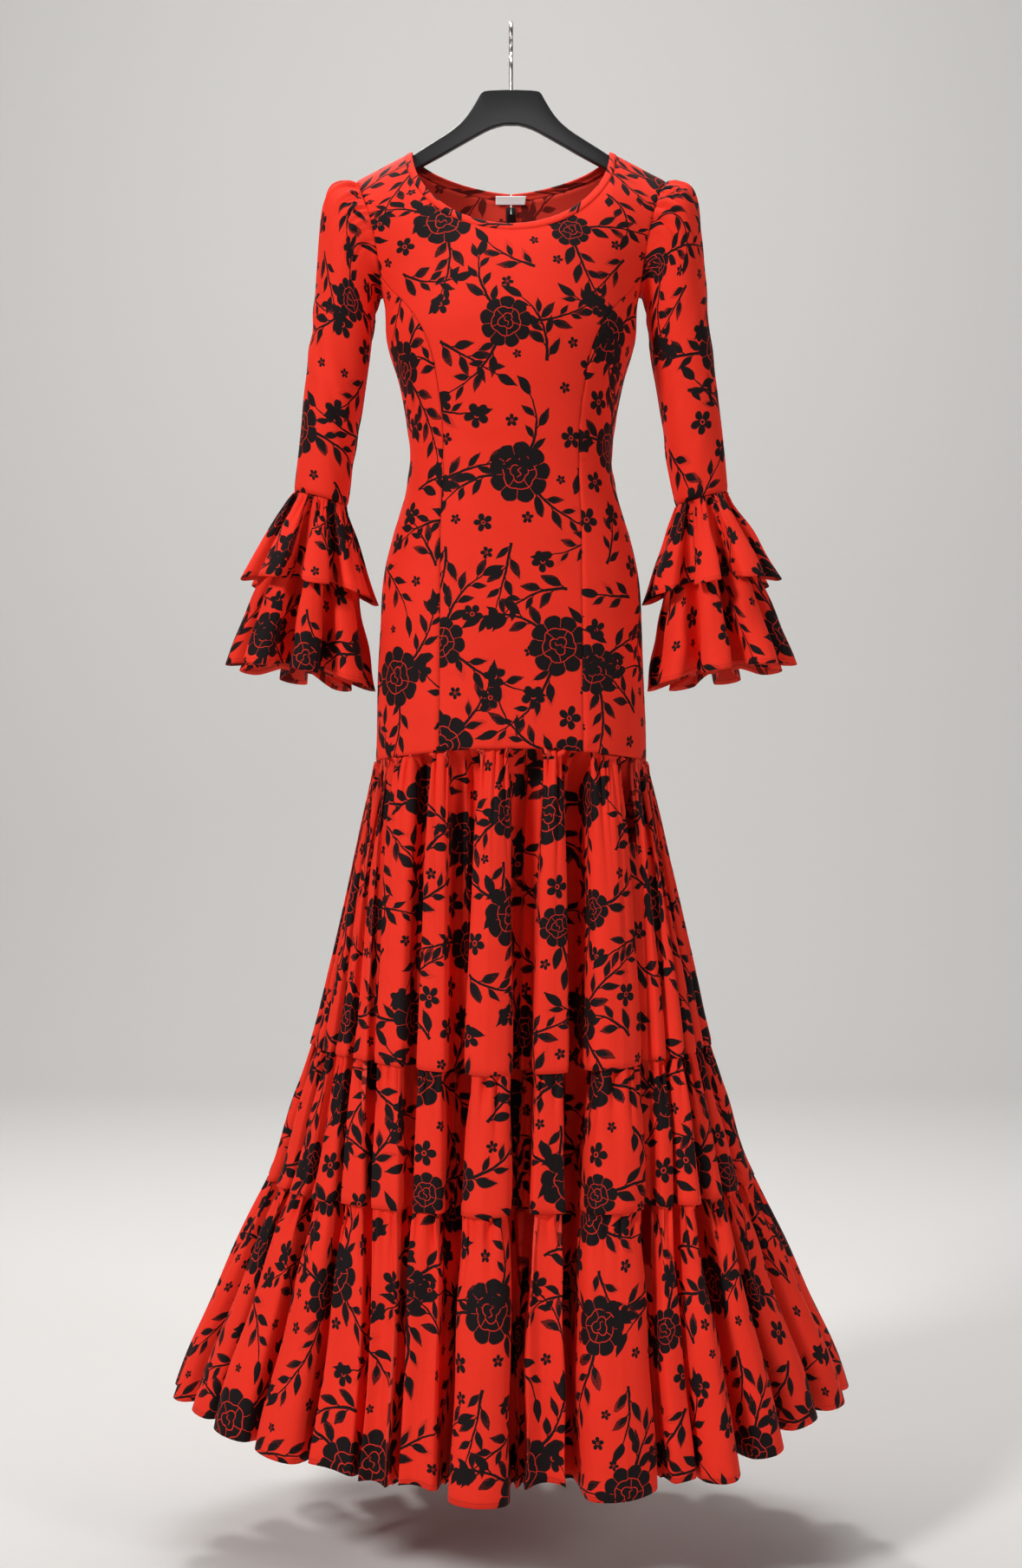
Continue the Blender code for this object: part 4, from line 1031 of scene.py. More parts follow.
def add_printed(context, name, grid, flat, edge, held, hangs_from, closed=False, wall=None, cut=1.0):
    """A piece of the dress's printed crepe."""
    wall = wall or context.scene.dress_sizes.wall
    made = add_cloth(name, grid, flat, edge, crepe_pair(), name, closed=closed, wall=wall)


ZIP_OPENING = (0.7, 1.1)  # half the gap between the backs, and how much wider it is at the slider
SLIDER_AT = (-203, 9.0)  # the slider's height, and the reach of the wider gap
EDGE_SEAM = 0.3  # how far a seam's shaded line lies outside the middle of the stitching


class DRESS_OT_bodice(bpy.types.Operator):
    """Builds the princess-seamed front and the backs on each side of the zip."""

    bl_idname = "dress.bodice"
    bl_label = "Bodice"

    def execute(self, context):
        front = over_middle(half_panel("front", princess_edge(), hip_height))
        side = front_side_grid()
        back = half_panel("back", side_seam_edge(), hip_height)
        slider_height, reach = SLIDER_AT
        near_slider = np.exp(-(((back[:, 0, 2] - slider_height) / reach) ** 2))
        open_half = ZIP_OPENING[0] + ZIP_OPENING[1] * near_slider
        back[:, 0, 0] = open_half
        back[:, 1, 0] = np.maximum(back[:, 1, 0], open_half + 1)
        # each panel's grid, and where it was cut from the printed cloth
        panels = {
            "bodice_front_centre": (front, (0, 40)),
            "bodice_front_side_left": (side, (190, 260)),
            "bodice_front_side_right": (mirrored(side), (330, 90)),
            "bodice_back_left": (back[:, ::-1], (120, 320)),
            "bodice_back_right": (mirrored(back)[:, ::-1], (420, 180)),
        }
        slack = context.scene.dress_sizes.slack
        for seed, (name, (grid, corner)) in enumerate(panels.items(), start=40):
            flat = body_flat("back" if "back" in name else "front", grid, corner)
            on_grid = flat_of(grid)
            shift = creases(grid, slack, seed) + seam_dip(to_edges(on_grid, "left", "right", "low"))
            # the dark stitch line lies 0.3 mm from each seam, as painted shade of the seam's crease
            edge = to_edges(on_grid, "left", "right", "low", "top") + STITCH_IN - EDGE_SEAM
            add_printed(context, name, pushed(grid, shift), flat, edge, "hung", "hanger_body")
        return {"FINISHED"}


BINDING_END = 1.3  # half the gap between the binding's ends at the zip
BINDING_CROWN = 0.8
BINDING_STITCHES = 1.6  # above its lower edge
BINDING_WALL = 1.6  # it is folded double
NECK_PUCKERS = (0.12, (6.0, 12.0))  # their height, and the shortest and longest of them


class DRESS_OT_neck(bpy.types.Operator):
    """Builds the strip that binds the neck, with its row of stitches drawn as a dark line that is partly
    painted shade.
    """

    bl_idname = "dress.neck"
    bl_label = "Neck binding"

    def execute(self, context):
        turns = np.radians(np.concatenate([np.linspace(0, 60, 25), np.linspace(63, 88, 12)]))
        rows = []
        for down in np.linspace(BINDING_WIDTH, 0, 7):
            ends = {}
            for face in ("front", "back"):
                x, z = neck_edge(face, turns, down)
                ends[face] = body_point(face, body_angle(x, z), z)
            ends["back"][0, 0] = BINDING_END
            top = NECK_HALF_WIDTH + down
            shoulder = np.array([[top, 0.0, float(shoulder_height(top))]])
            half = np.concatenate([ends["front"], shoulder, ends["back"][::-1]])
            rows.append(np.concatenate([half[:0:-1] * (-1, 1, 1), half]))
        grid = np.array(rows)
        flat = flat_of(grid, corner=(60, 480))
        across = flat[..., 1] - flat[:1, :, 1]
        crown = BINDING_CROWN * np.sin(math.pi * np.clip(across / BINDING_WIDTH, 0, 1)) ** 0.6
        # puckers beside the stitches
        high, lengths = NECK_PUCKERS
        crown = crown + high * ripple(flat[..., 0], across, 5, 6, lengths)
        edge = np.abs(across - BINDING_STITCHES) + STITCH_IN
        bound = pushed(grid, crown)
        add_printed(context, "neck_binding", bound, flat, edge, "stretched", "hanger_body", wall=BINDING_WALL)
        return {"FINISHED"}


# ---------------------------------------------------------------- sleeves
WRIST = 9.0
SLEEVE_TUCK = (1.2, 1.0)  # how far the head's edge lies inside and under the bodice's
HEAD_GATHERS = (44, 2.6, 2.5, 58)  # number, width, depth in gather depths, and reach
HEAD_PUFF = 4.0
HEAD_REACH = (40, 7)  # how far down the puff reaches, and how soon it begins
HEAD_SPREAD = (1.5, 4.4)  # where round the armhole the head is gathered: 1 on top, 0 under the arm
ELBOW = (200, 60)  # its distance from the armhole, and how far its creases reach
ELBOW_CREASES = 1.2  # their height in slacks
SLEEVE_UNEVENNESS = 0.9


def sleeve_section(at, turns):
    """Points round the left sleeve at these sections."""
    outer, inner, depth = (np.zeros((len(at), 1, 3)) for _ in range(3))
    for points, side in ((outer, "outer"), (inner, "inner")):
        points[:, 0, 0], points[:, 0, 2] = SLEEVE.read(side + "_x", at), SLEEVE.read(side + "_z", at)
    depth[:, 0, 1] = -SLEEVE.read("half_depth", at)
    middle, half = (outer + inner) / 2, (outer - inner) / 2
    return middle + half * np.cos(turns)[None, :, None] + depth * np.sin(turns)[None, :, None]


def sleeve_grid(rows=80, around=220):
    """The left sleeve from wrist to armhole, its columns starting at the seam under the arm."""
    turns = math.pi - np.arange(around) * 2 * math.pi / around
    at = np.linspace(WRIST, 0, rows)
    share = (1 - np.cos(turns)) / 2
    x, z = armhole(share)
    in_front = (np.sin(turns) >= 0)[:, None]
    hole = np.where(in_front, at_surface("front", x, z), at_surface("back", x, z))
    hole[np.isclose(np.sin(turns), 0, atol=1e-6), 1] = 0.0
    hole = hole - (SLEEVE_TUCK[0], 0, SLEEVE_TUCK[1])
    offset = hole - sleeve_section(np.zeros(1), turns)[0]
    left = np.maximum(0.0, 1 - at / HEAD_SECTIONS) ** HEAD_TURN
    return sleeve_section(at, turns) + offset[None] * left[:, None, None]


class DRESS_OT_sleeves(bpy.types.Operator):
    """Builds the two sleeves, eased into the armhole at the head and creased at the elbow."""

    bl_idname = "dress.sleeves"
    bl_label = "Sleeves"

    def execute(self, context):
        sizes = context.scene.dress_sizes
        count, width, deep, reach = HEAD_GATHERS
        deep = sizes.gather_depth * deep
        for side, seed, corner in (("left", 61, (200, 30)), ("right", 62, (40, 350))):
            grid = sleeve_grid()
            flat = flat_of(grid, closed=True, corner=corner)
            along = (flat - flat[:, :1])[:, :-1, 0]
            up = flat[:, :-1, 1] - corner[1]
            down = up[-1:] - up
            total = along.max()
            head = np.clip(HEAD_SPREAD[0] - np.abs(along / total - 0.5) * HEAD_SPREAD[1], 0, 1)
            shift = gathers(along, down, total, seed, count, width, deep, reach, INWARD) * head
            shift += HEAD_PUFF * np.exp(-down / HEAD_REACH[0]) * (1 - np.exp(-down / HEAD_REACH[1])) * head
            elbow = np.exp(-(((down - ELBOW[0]) / ELBOW[1]) ** 2))
            uneven = ripple(along, down, seed, 8, (26.0, 60.0), (3.2, 1.0))
            shift += sizes.slack * ELBOW_CREASES * uneven * elbow
            uneven = ripple(along, down, seed + 7, 7, (50.0, 120.0), (0.7, 2.0))
            shift += sizes.slack * SLEEVE_UNEVENNESS * uneven
            shift += seam_dip(down) + seam_dip(up) + seam_dip(np.minimum(along, total - along), 0.5)
            grid = pushed(grid, shift, closed=True)
            if side == "right":
                grid = np.roll(mirrored(grid), 1, axis=1)
            edge = np.full(flat.shape[:2], NO_EDGE)
            add_printed(context, "sleeve_" + side, grid, flat, edge, "hung", "hanger_body", closed=True)
        return {"FINISHED"}


# ---------------------------------------------------------------- folds and cuff ruffles
def fold_section(share, valley):
    """How far across a fold each column lies, as a share of its width, and its height from 0 in the valleys
    on each side to 1 on the crest. valley is half the width of a valley's floor, as a share of the fold's."""
    along = 1 - np.abs(2 * share - 1)
    half = valley * FOLD_SECTION.read("floor", along) + 0.5 * FOLD_SECTION.read("crest", along)
    return np.where(share <= 0.5, half, 1 - half), FOLD_SECTION.read("height", along)


def even_over_crest(count):
    """Places across a fold for its columns, a third of them on its two walls."""
    even = np.abs(2 * np.arange(count) / count - 1)
    half = 0.5 * np.interp(even, (0, 0.66, 0.88, 1), (0, 0.48, 0.84, 1))
    return np.where(np.arange(count) < count / 2, 0.5 - half, 0.5 + half)


def with_first_again(grid):
    """A closed grid with its first column once more at its end."""
    return np.concatenate([grid, grid[:, :1]], axis=1)


def lie_of(grid):
    """A gathered piece's distances along its lower edge and up from it."""
    full = with_first_again(grid)
    return np.broadcast_to(run_along(full[:1], 1), full.shape[:2]), run_along(full, 0)


def ruffle_grid(tier, rows):
    """A left cuff ruffle from its hem to the wrist."""
    length = float(RUFFLES.read("length", tier))
    ends = list(RUFFLE_VALLEYS[1:]) + [RUFFLE_VALLEYS[0] + 360]
    degrees, height = [], []
    for start, end in zip(RUFFLE_VALLEYS, ends):
        across, high = fold_section(even_over_crest(RUFFLE_COLUMNS), RUFFLE_VALLEY)
        degrees.append(start + (end - start) * across)
        height.append(high)
    turn, height = np.radians(np.concatenate(degrees)), np.concatenate(height)
    wrist = sleeve_section(np.array([WRIST]), np.array([0.0, math.pi]))[0]
    centre = wrist.mean(axis=0)
    grid = []
    for share in np.linspace(1, 0, rows):
        crest = RUFFLES.read("crest_at_top", tier)
        crest += (RUFFLES.read("crest_at_hem", tier) - crest) * share
        tilt = RUFFLE_TILTS[0] + (RUFFLE_TILTS[1] - RUFFLE_TILTS[0]) * share
        fold = RUFFLES.read("fold_at_hem", tier) * share**RUFFLE_FOLD_GROWTH
        fold = RUFFLE_FOLD_AT_TOP * (1 - share) + fold
        radius = crest - fold * RUFFLE_DEEPER * (1 - height)
        x, y = radius * np.sin(turn), -radius * np.cos(turn)
        # each fold's hem hangs lower on its crest than in its valleys, and lower behind than in front
        sag = RUFFLE_DIP * (height - 0.5) + RUFFLE_BACK_DROP * y / crest
        z = -length * share + tilt * x - RUFFLE_TUCK - sag * share**2
        grid.append(centre + np.stack([x + WRIST_LEAN * length * share, y, z], axis=-1))
    return np.array(grid)


RUFFLE_PLEATS = (60, 3.2, 1.6, 48)  # number, width, depth in gather depths, and reach
RUFFLE_LONG_PLEATS = (18, 11.0, 3.0, 170)  # number, width, depth and reach
RUFFLE_SOFTNESS = (1.2, 40)  # height of the unevenness, and how far down it begins in full


class DRESS_OT_ruffles(bpy.types.Operator):
    """Builds the two gathered ruffles at each wrist."""

    bl_idname = "dress.ruffles"
    bl_label = "Cuff ruffles"

    def execute(self, context):
        count, width, deep, reach = RUFFLE_PLEATS
        deep = context.scene.dress_sizes.gather_depth * deep
        for tier, word, rows in ((1, "upper", 26), (2, "lower", 48)):
            for side, seed in (("left", 70 + tier), ("right", 80 + tier)):
                grid = ruffle_grid(tier, rows)
                along, up = lie_of(grid)
                flat = np.stack([along + RUFFLE_CUT[0] * seed, up + RUFFLE_CUT[1] * seed], axis=-1)
                total, ring = float(along.max()), along[:, :-1]
                down = (up[-1:] - up)[:, :-1]
                shift = gathers(ring, down, total, seed, count, width, deep, reach, INWARD)
                shift += gathers(ring, down, total, seed + 50, *RUFFLE_LONG_PLEATS)
                high, begins = RUFFLE_SOFTNESS
                shift += high * ripple(ring, down, seed, 7, (50.0, 120.0)) * np.minimum(down / begins, 1)
                grid = pushed(grid, shift, closed=True)
                if side == "right":
                    grid = np.roll(mirrored(grid), 1, axis=1)
                name = f"cuff_ruffle_{word}_{side}"
                hung = "sleeve_" + side
                add_printed(context, name, grid, flat, up, "gathered", hung, closed=True, cut=RUFFLE_FLARE)
        return {"FINISHED"}


# ---------------------------------------------------------------- skirt
TOP_TUCK = 1.3  # how far a tier's upper edge lies up under the piece above
VALLEY_UNEVENNESS = (0.3, 7.3)
SEAM_HOLD = (0.9, 0.01)  # how flat a seam holds the folds, and over how much of the flare
ROWS_CLOSER = 1.35
TIER_SOFTNESS = (1.5, 60)  # height of the unevenness, and how far down it begins in full
HEM_HOLD = 18  # how far above a joined lower edge the pleats die out
DRAWN_IN = {1: 3.0, 2: 0.8, 3: 0.8}  # how far the seam above each tier draws the cloth in
DRAWN_REACH = 5
UNDER_ABOVE = (1.5, 40)  # how far a tier lies under the piece above, and its reach


def skirt_flare(z):
    """How much of its width the skirt has gained by this height, from 0 at the hip to 1 at the hem."""
    top, bottom = SKIRT.column("half_width")[-1], SKIRT.column("half_width")[0]
    return (SKIRT.read("half_width", z) - top) / (bottom - top)


def skirt_place(at_hip, at_hem, flare):
    """An angle round the skirt between its values at the hip and at the hem."""
    return at_hem + (at_hip - at_hem) * (1 - flare) ** TIER_GROWTH


def skirt_outline(degrees, z):
    """The skirt's crest line at a height, and the way out of it."""
    turn = np.radians(degrees)
    power = 2 / (ROUNDNESS + (2 - ROUNDNESS) * np.minimum(skirt_flare(z), 1.0))
    half = SKIRT.read("half_width", z)
    depth = np.where(np.cos(turn) >= 0, SKIRT.read("front_depth", z), SKIRT.read("back_depth", z))
    sine, cosine = np.sin(turn), np.cos(turn)
    x = half * np.sign(sine) * np.abs(sine) ** power
    y = -depth * np.sign(cosine) * np.abs(cosine) ** power
    out = np.stack([x / half**2, y / depth**2, 0 * x], axis=-1)
    return np.stack([x, y, z], axis=-1), out / np.linalg.norm(out, axis=-1, keepdims=True)


def tier_height(tier, edge, degrees):
    """Height of a tier's edge at each angle; its upper edge lies a little way up under the piece above."""
    front, side = TIERS.read(edge + "_front", tier), TIERS.read(edge + "_side", tier)
    at_hip = tier == 1 and edge == "top"
    curve = np.abs(np.cos(np.radians(degrees))) ** (2 if at_hip else HEM_CURVE)
    return side + (front - side) * curve + (TOP_TUCK if edge == "top" else 0.0)


def skirt_columns(tier, spacing):
    """Arrays over the points round a tier: each fold's row and the next one's, and how far across it is.
    spacing is the distance between two columns at the tier's upper edge, and double at the back."""
    rows = FOLDS.rows
    after = np.concatenate([rows[1:], rows[:1] + (360, 360, 0, 0)])
    radius = float(SKIRT.read("half_width", TIERS.read("top_side", tier)))
    flare = float(skirt_flare(TIERS.read("top_side", tier)))
    start, end, share = [], [], []
    for fold, following in zip(rows, after):
        first, last = (skirt_place(row[1], row[0], flare) for row in (fold, following))
        turn = np.radians(last - first)
        behind = BACK_OF_SKIRT[0] < fold[0] < BACK_OF_SKIRT[1]
        count = max(FEWEST_COLUMNS, 2 * round(turn * radius / spacing / (4 if behind else 2)))
        start += [fold] * count
        end += [following] * count
        share.append(even_over_crest(count))
    return np.array(start), np.array(end), np.concatenate(share)


def skirt_angles(start, end, share, flare):
    """Each column's angle round the skirt, how far across its fold it is, and how high on it."""
    valley = VALLEY_AT_HIP + (VALLEY_AT_HEM - VALLEY_AT_HIP) * np.clip(flare, 0, 1) ** 0.5
    uneven, rate = VALLEY_UNEVENNESS
    across, high = fold_section(share, valley * (1 + uneven * np.sin(rate * start[:, 0])))
    at_hem = start[:, 0] + (end[:, 0] - start[:, 0]) * across
    at_hip = start[:, 1] + (end[:, 1] - start[:, 1]) * across
    return skirt_place(at_hip, at_hem, flare), across, high


def round_skirt(columns, z):
    """Each column's distance round the skirt's outline at a height, which leaves out the folds."""
    degrees = skirt_angles(*columns, skirt_flare(np.full(len(columns[2]), float(z))))[0]
    outline = skirt_outline(degrees, np.full(len(degrees), float(z)))[0]
    run = run_along(np.concatenate([outline, outline[:1]])[None], 1)[0]
    return run[:-1], float(run[-1])


def skirt_row(start, end, share, height):
    """Points of a row round the skirt, where height gives the height wanted at each angle."""
    flare = skirt_flare(height(start[:, 0] + (end[:, 0] - start[:, 0]) * share))
    degrees, across, high = skirt_angles(start, end, share, flare)
    z = height(degrees)
    ends = [skirt_outline(skirt_place(row[:, 1], row[:, 0], flare), z)[0] for row in (start, end)]
    width = np.linalg.norm(ends[1] - ends[0], axis=-1)
    grown = np.maximum(flare, 0.0) ** FOLD_GROWTH
    deep = FOLD_DEPTH_AT_HIP + (FOLD_DEPTH_AT_HEM - FOLD_DEPTH_AT_HIP) * grown
    # the seam holds the folds nearly flat
    deep = deep * (1 - SEAM_HOLD[0] * np.exp(-np.maximum(flare, 0.0) / SEAM_HOLD[1]))
    deep = deep * (start[:, 2] + (end[:, 2] - start[:, 2]) * share)
    point, out = skirt_outline(degrees, z)
    inward = np.minimum(deep * width, DEEPEST_FOLD) * (1 - high)
    inward += start[:, 3] * flare * np.sin(math.pi * across)
    return point - out * inward[:, None]


def tier_grid(tier, columns, rows):
    """A tier from its lower edge to its upper one, its rows closest at the top."""
    start, end, share = columns
    grid = []
    for up in 1 - np.linspace(1, 0, rows) ** ROWS_CLOSER:

        def height(degrees, up=up):
            low = tier_height(tier, "bottom", degrees)
            return low + (tier_height(tier, "top", degrees) - low) * up

        row = skirt_row(start, end, share, height)
        if tier == LAST_TIER:
            row[:, 2] += start[:, 3] * RECESS_LIFT * np.sin(math.pi * share) * (1 - up)
        grid.append(row)
    return np.array(grid)


def side_crest(columns, degrees):
    """The column at the crest of the fold at a side seam."""
    start, end, share = columns
    crest = np.where(np.abs(share - 0.5) < 1e-6)[0]
    return int(crest[np.argmin(np.abs((start[crest, 0] + end[crest, 0]) / 2 - degrees))])


class DRESS_OT_skirt(bpy.types.Operator):
    """Builds the three gathered tiers, each in a front and a back."""

    bl_idname = "dress.skirt"
    bl_label = "Skirt tiers"

    def execute(self, context):
        depth = context.scene.dress_sizes.gather_depth * SHORT_PLEAT_DEPTH
        for tier, rows, spacing, count, reach in TIER_FACES.rows:
            tier, rows, count = int(tier), int(rows), int(count)
            columns = skirt_columns(tier, spacing)
            ring, total_ring = round_skirt(columns, TIERS.read("top_side", tier))
            grid = tier_grid(tier, columns, rows)
            along, up = lie_of(grid)
            down, above_hem = (up[-1:] - up)[:, :-1], up[:, :-1]
            width = max(2.0, 2.0 * spacing)
            shift = gathers(ring, down, total_ring, 90 + tier, count, width, depth, reach, INWARD)
            long_count, *long_sizes = LONG_PLEATS.rows[tier - 1, 1:]
            shift += gathers(ring, down, total_ring, 190 + tier, int(long_count), *long_sizes)
            soft = ripple(ring, down, 95 + tier, 8, (40.0, 110.0), (1.0, 3.5))
            shift += TIER_SOFTNESS[0] * soft * np.minimum(down / TIER_SOFTNESS[1], 1)
            if tier < LAST_TIER:
                shift = shift * (1 - np.exp(-above_hem / HEM_HOLD)) + seam_dip(above_hem, 0.5, 1.5)
            # the seam draws the cloth in, and its edge lies under the piece above
            under, reaching = UNDER_ABOVE
            shift -= DRAWN_IN[tier] * np.exp(-down / DRAWN_REACH) + under * np.exp(-down / reaching)
            grid = with_first_again(pushed(grid, shift, closed=True))
            flat = np.stack([along + TIER_CUT[0] * tier, up + TIER_CUT[1] * tier], axis=-1)
            edge = up if tier == LAST_TIER else np.full(up.shape, NO_EDGE)
            left, right = side_crest(columns, 90), side_crest(columns, 270)
            front = [*range(right, grid.shape[1] - 1), *range(left + 1)]
            back = [*range(left, right + 1)]
            # a front's places run on past the grid's end, where its columns start again
            wrapped = flat.copy()
            wrapped[:, : left + 1, 0] += float(along.max())
            for word, picked, places in (("front", front, wrapped), ("back", back, flat)):
                piece = grid[:, picked], places[:, picked], edge[:, picked]
                hung = f"skirt_tier_{tier - 1}_{word}" if tier > 1 else "hanger_body"
                add_printed(context, f"skirt_tier_{tier}_{word}", *piece, "gathered", hung)
        return {"FINISHED"}


# ---------------------------------------------------------------- zip and hanger
def plain(name, code, rough, metallic=0.0):
    """A material with its surface values set; patterns are added by the caller."""
    material = bpy.data.materials.new(name)
    material.use_nodes = True
    surface = material.node_tree.nodes["Principled BSDF"]
    surface.inputs["Base Color"].default_value = linear(code)
    surface.inputs["Roughness"].default_value = rough
    surface.inputs["Metallic"].default_value = metallic
    return material, material.node_tree, surface


def textured(name, code, rough, scale, rise, metallic=0.0, stretch=(1, 1, 1), spread_rough=0.08):
    """The material with fine relief: scale is in features per metre, rise in metres."""
    material, tree, surface = plain(name, code, rough, metallic)
    n = functools.partial(node, tree)
    place = n("ShaderNodeMapping", n("ShaderNodeTexCoord", out=3), None, None, stretch)
    grain = n("ShaderNodeTexNoise", place, None, scale, 3.0)
    bump = n("ShaderNodeBump")
    bump.node.inputs["Strength"].default_value = 0.5
    bump.node.inputs["Distance"].default_value = rise
    tree.links.new(grain, bump.node.inputs["Height"])
    tree.links.new(bump, surface.inputs["Normal"])
    uneven = n("multiply_add", grain, spread_rough, rough - spread_rough / 2)
    tree.links.new(uneven, surface.inputs["Roughness"])
    return material


def dress_node(name, material):
    """Gives a hard solid its finish as it is."""
    cad = bpy.data.objects[name]
    cad.data.materials.clear()
    cad.data.materials.append(material)


def inside_back(x, z, inward):
    """Points on the inside of the back, this far in from the middle of its cloth."""
    return body_point("back", body_angle(x, z), z, inward)


# The zip's tapes: their ends, the slider's place, how far each lies off the middle and how wide they reach.
TAPE_ENDS = (-743.5, -193.5)
TAPE_CLOSES = (-199.5, 2)
TAPE_INNER = (1.15, 1.05)
TAPE_OUTER = 5.75
TAPE_INWARD = 2.15
TAPE_RIBS = (0.05, 1.5)
TAPE_WALL = 0.6
LABEL_HALF = 18
LABEL_EDGES = (-191.4, -182.4)
LABEL_INWARD = 3.2
LABEL_LIFT = (0.9, 1.6)  # how far its lower corners lift, and how far one end turns in
LABEL_WALL = 0.5


class DRESS_OT_zip(bpy.types.Operator):
    """Builds the centre-back zip's tapes and the bare label, and finishes the coil, slider and pull."""

    bl_idname = "dress.zip"
    bl_label = "Zip and label"

    def execute(self, context):
        colours = context.scene.dress_colours
        # woven polyester tape: dull, with fine ribs across
        tape = textured("woven polyester zip tape", "#171517", 0.85, 1800, 0.0002, stretch=(1, 1, 0.4))
        for side, way in (("left", 1), ("right", -1)):
            across, z = np.meshgrid(np.linspace(0, 1, 7)[::way], np.linspace(*TAPE_ENDS, 111))
            # the tapes meet above the slider
            closed = np.clip((z - TAPE_CLOSES[0]) / TAPE_CLOSES[1], 0, 1)
            inner = TAPE_INNER[0] - TAPE_INNER[1] * closed
            grid = inside_back(way * (inner + (TAPE_OUTER - inner) * across), z, TAPE_INWARD)
            flat = flat_of(grid)
            ribs = TAPE_RIBS[0] * np.cos(flat[..., 0] * 2 * math.pi / TAPE_RIBS[1])
            name = "zip_tape_" + side
            add_cloth(name, pushed(grid, ribs), flat, flat[..., 0], (tape,), name, wall=TAPE_WALL)
        satin = textured("woven satin label", colours.label, 0.5, 2500, 0.0001, stretch=(1, 1, 4))
        x, z = np.meshgrid(np.linspace(LABEL_HALF, -LABEL_HALF, 25), np.linspace(*LABEL_EDGES, 9))
        grid = inside_back(x, z, LABEL_INWARD)
        flat = flat_of(grid)
        # sewn along its top edge, so its lower corners lift and one end turns in
        free = (LABEL_EDGES[1] - z) / (LABEL_EDGES[1] - LABEL_EDGES[0])
        grid[..., 1] -= LABEL_LIFT[0] * free**2 * (0.3 + np.abs(x / LABEL_HALF) ** 3)
        grid[..., 0] -= LABEL_LIFT[1] * free * np.clip(x / LABEL_HALF, 0, 1) ** 2
        add_cloth("label", grid, flat, flat[..., 0], (satin,), "label", wall=LABEL_WALL)
        # the coil is black nylon; its mid grey is a painted highlight along its middle
        coil = textured("nylon zip coil with painted highlight", "#6A676B", 0.35, 700, 0.0006, stretch=(0.1, 0.1, 1))
        metal = textured("blackened zinc slider", "#454240", 0.42, 900, 0.00003, metallic=1.0)
        dress_node("zip_coil", coil)
        dress_node("zip_slider", metal)
        dress_node("zip_pull", metal)
        return {"FINISHED"}


def start_editing(select_by):
    bpy.ops.object.mode_set(mode="EDIT")
    bpy.ops.mesh.select_mode(type="VERT")
    bpy.ops.mesh.select_mode(type=select_by)


def select_only_edge(made, chosen):
    """Selects the edges between a mesh's chosen vertices, and none of its faces."""
    for vertex in made.data.vertices:
        vertex.select = bool(chosen(vertex.co))
    for edge in made.data.edges:
        edge.select = all(made.data.vertices[v].select for v in edge.vertices)
    for face in made.data.polygons:
        face.select = False


def finish_piece(made, name, material, node_name):
    """Closes edit mode, shades the piece and puts it in its solid's place."""
    bpy.ops.object.mode_set(mode="OBJECT")
    bpy.ops.object.shade_smooth_by_angle(angle=math.radians(40))
    made.name = name
    made.data.materials.clear()
    made.data.materials.append(material)
    bpy.ops.object.transform_apply(location=True, rotation=True, scale=True)
    made.select_set(False)
    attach(made, BODY_NAME)
    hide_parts(node_name)


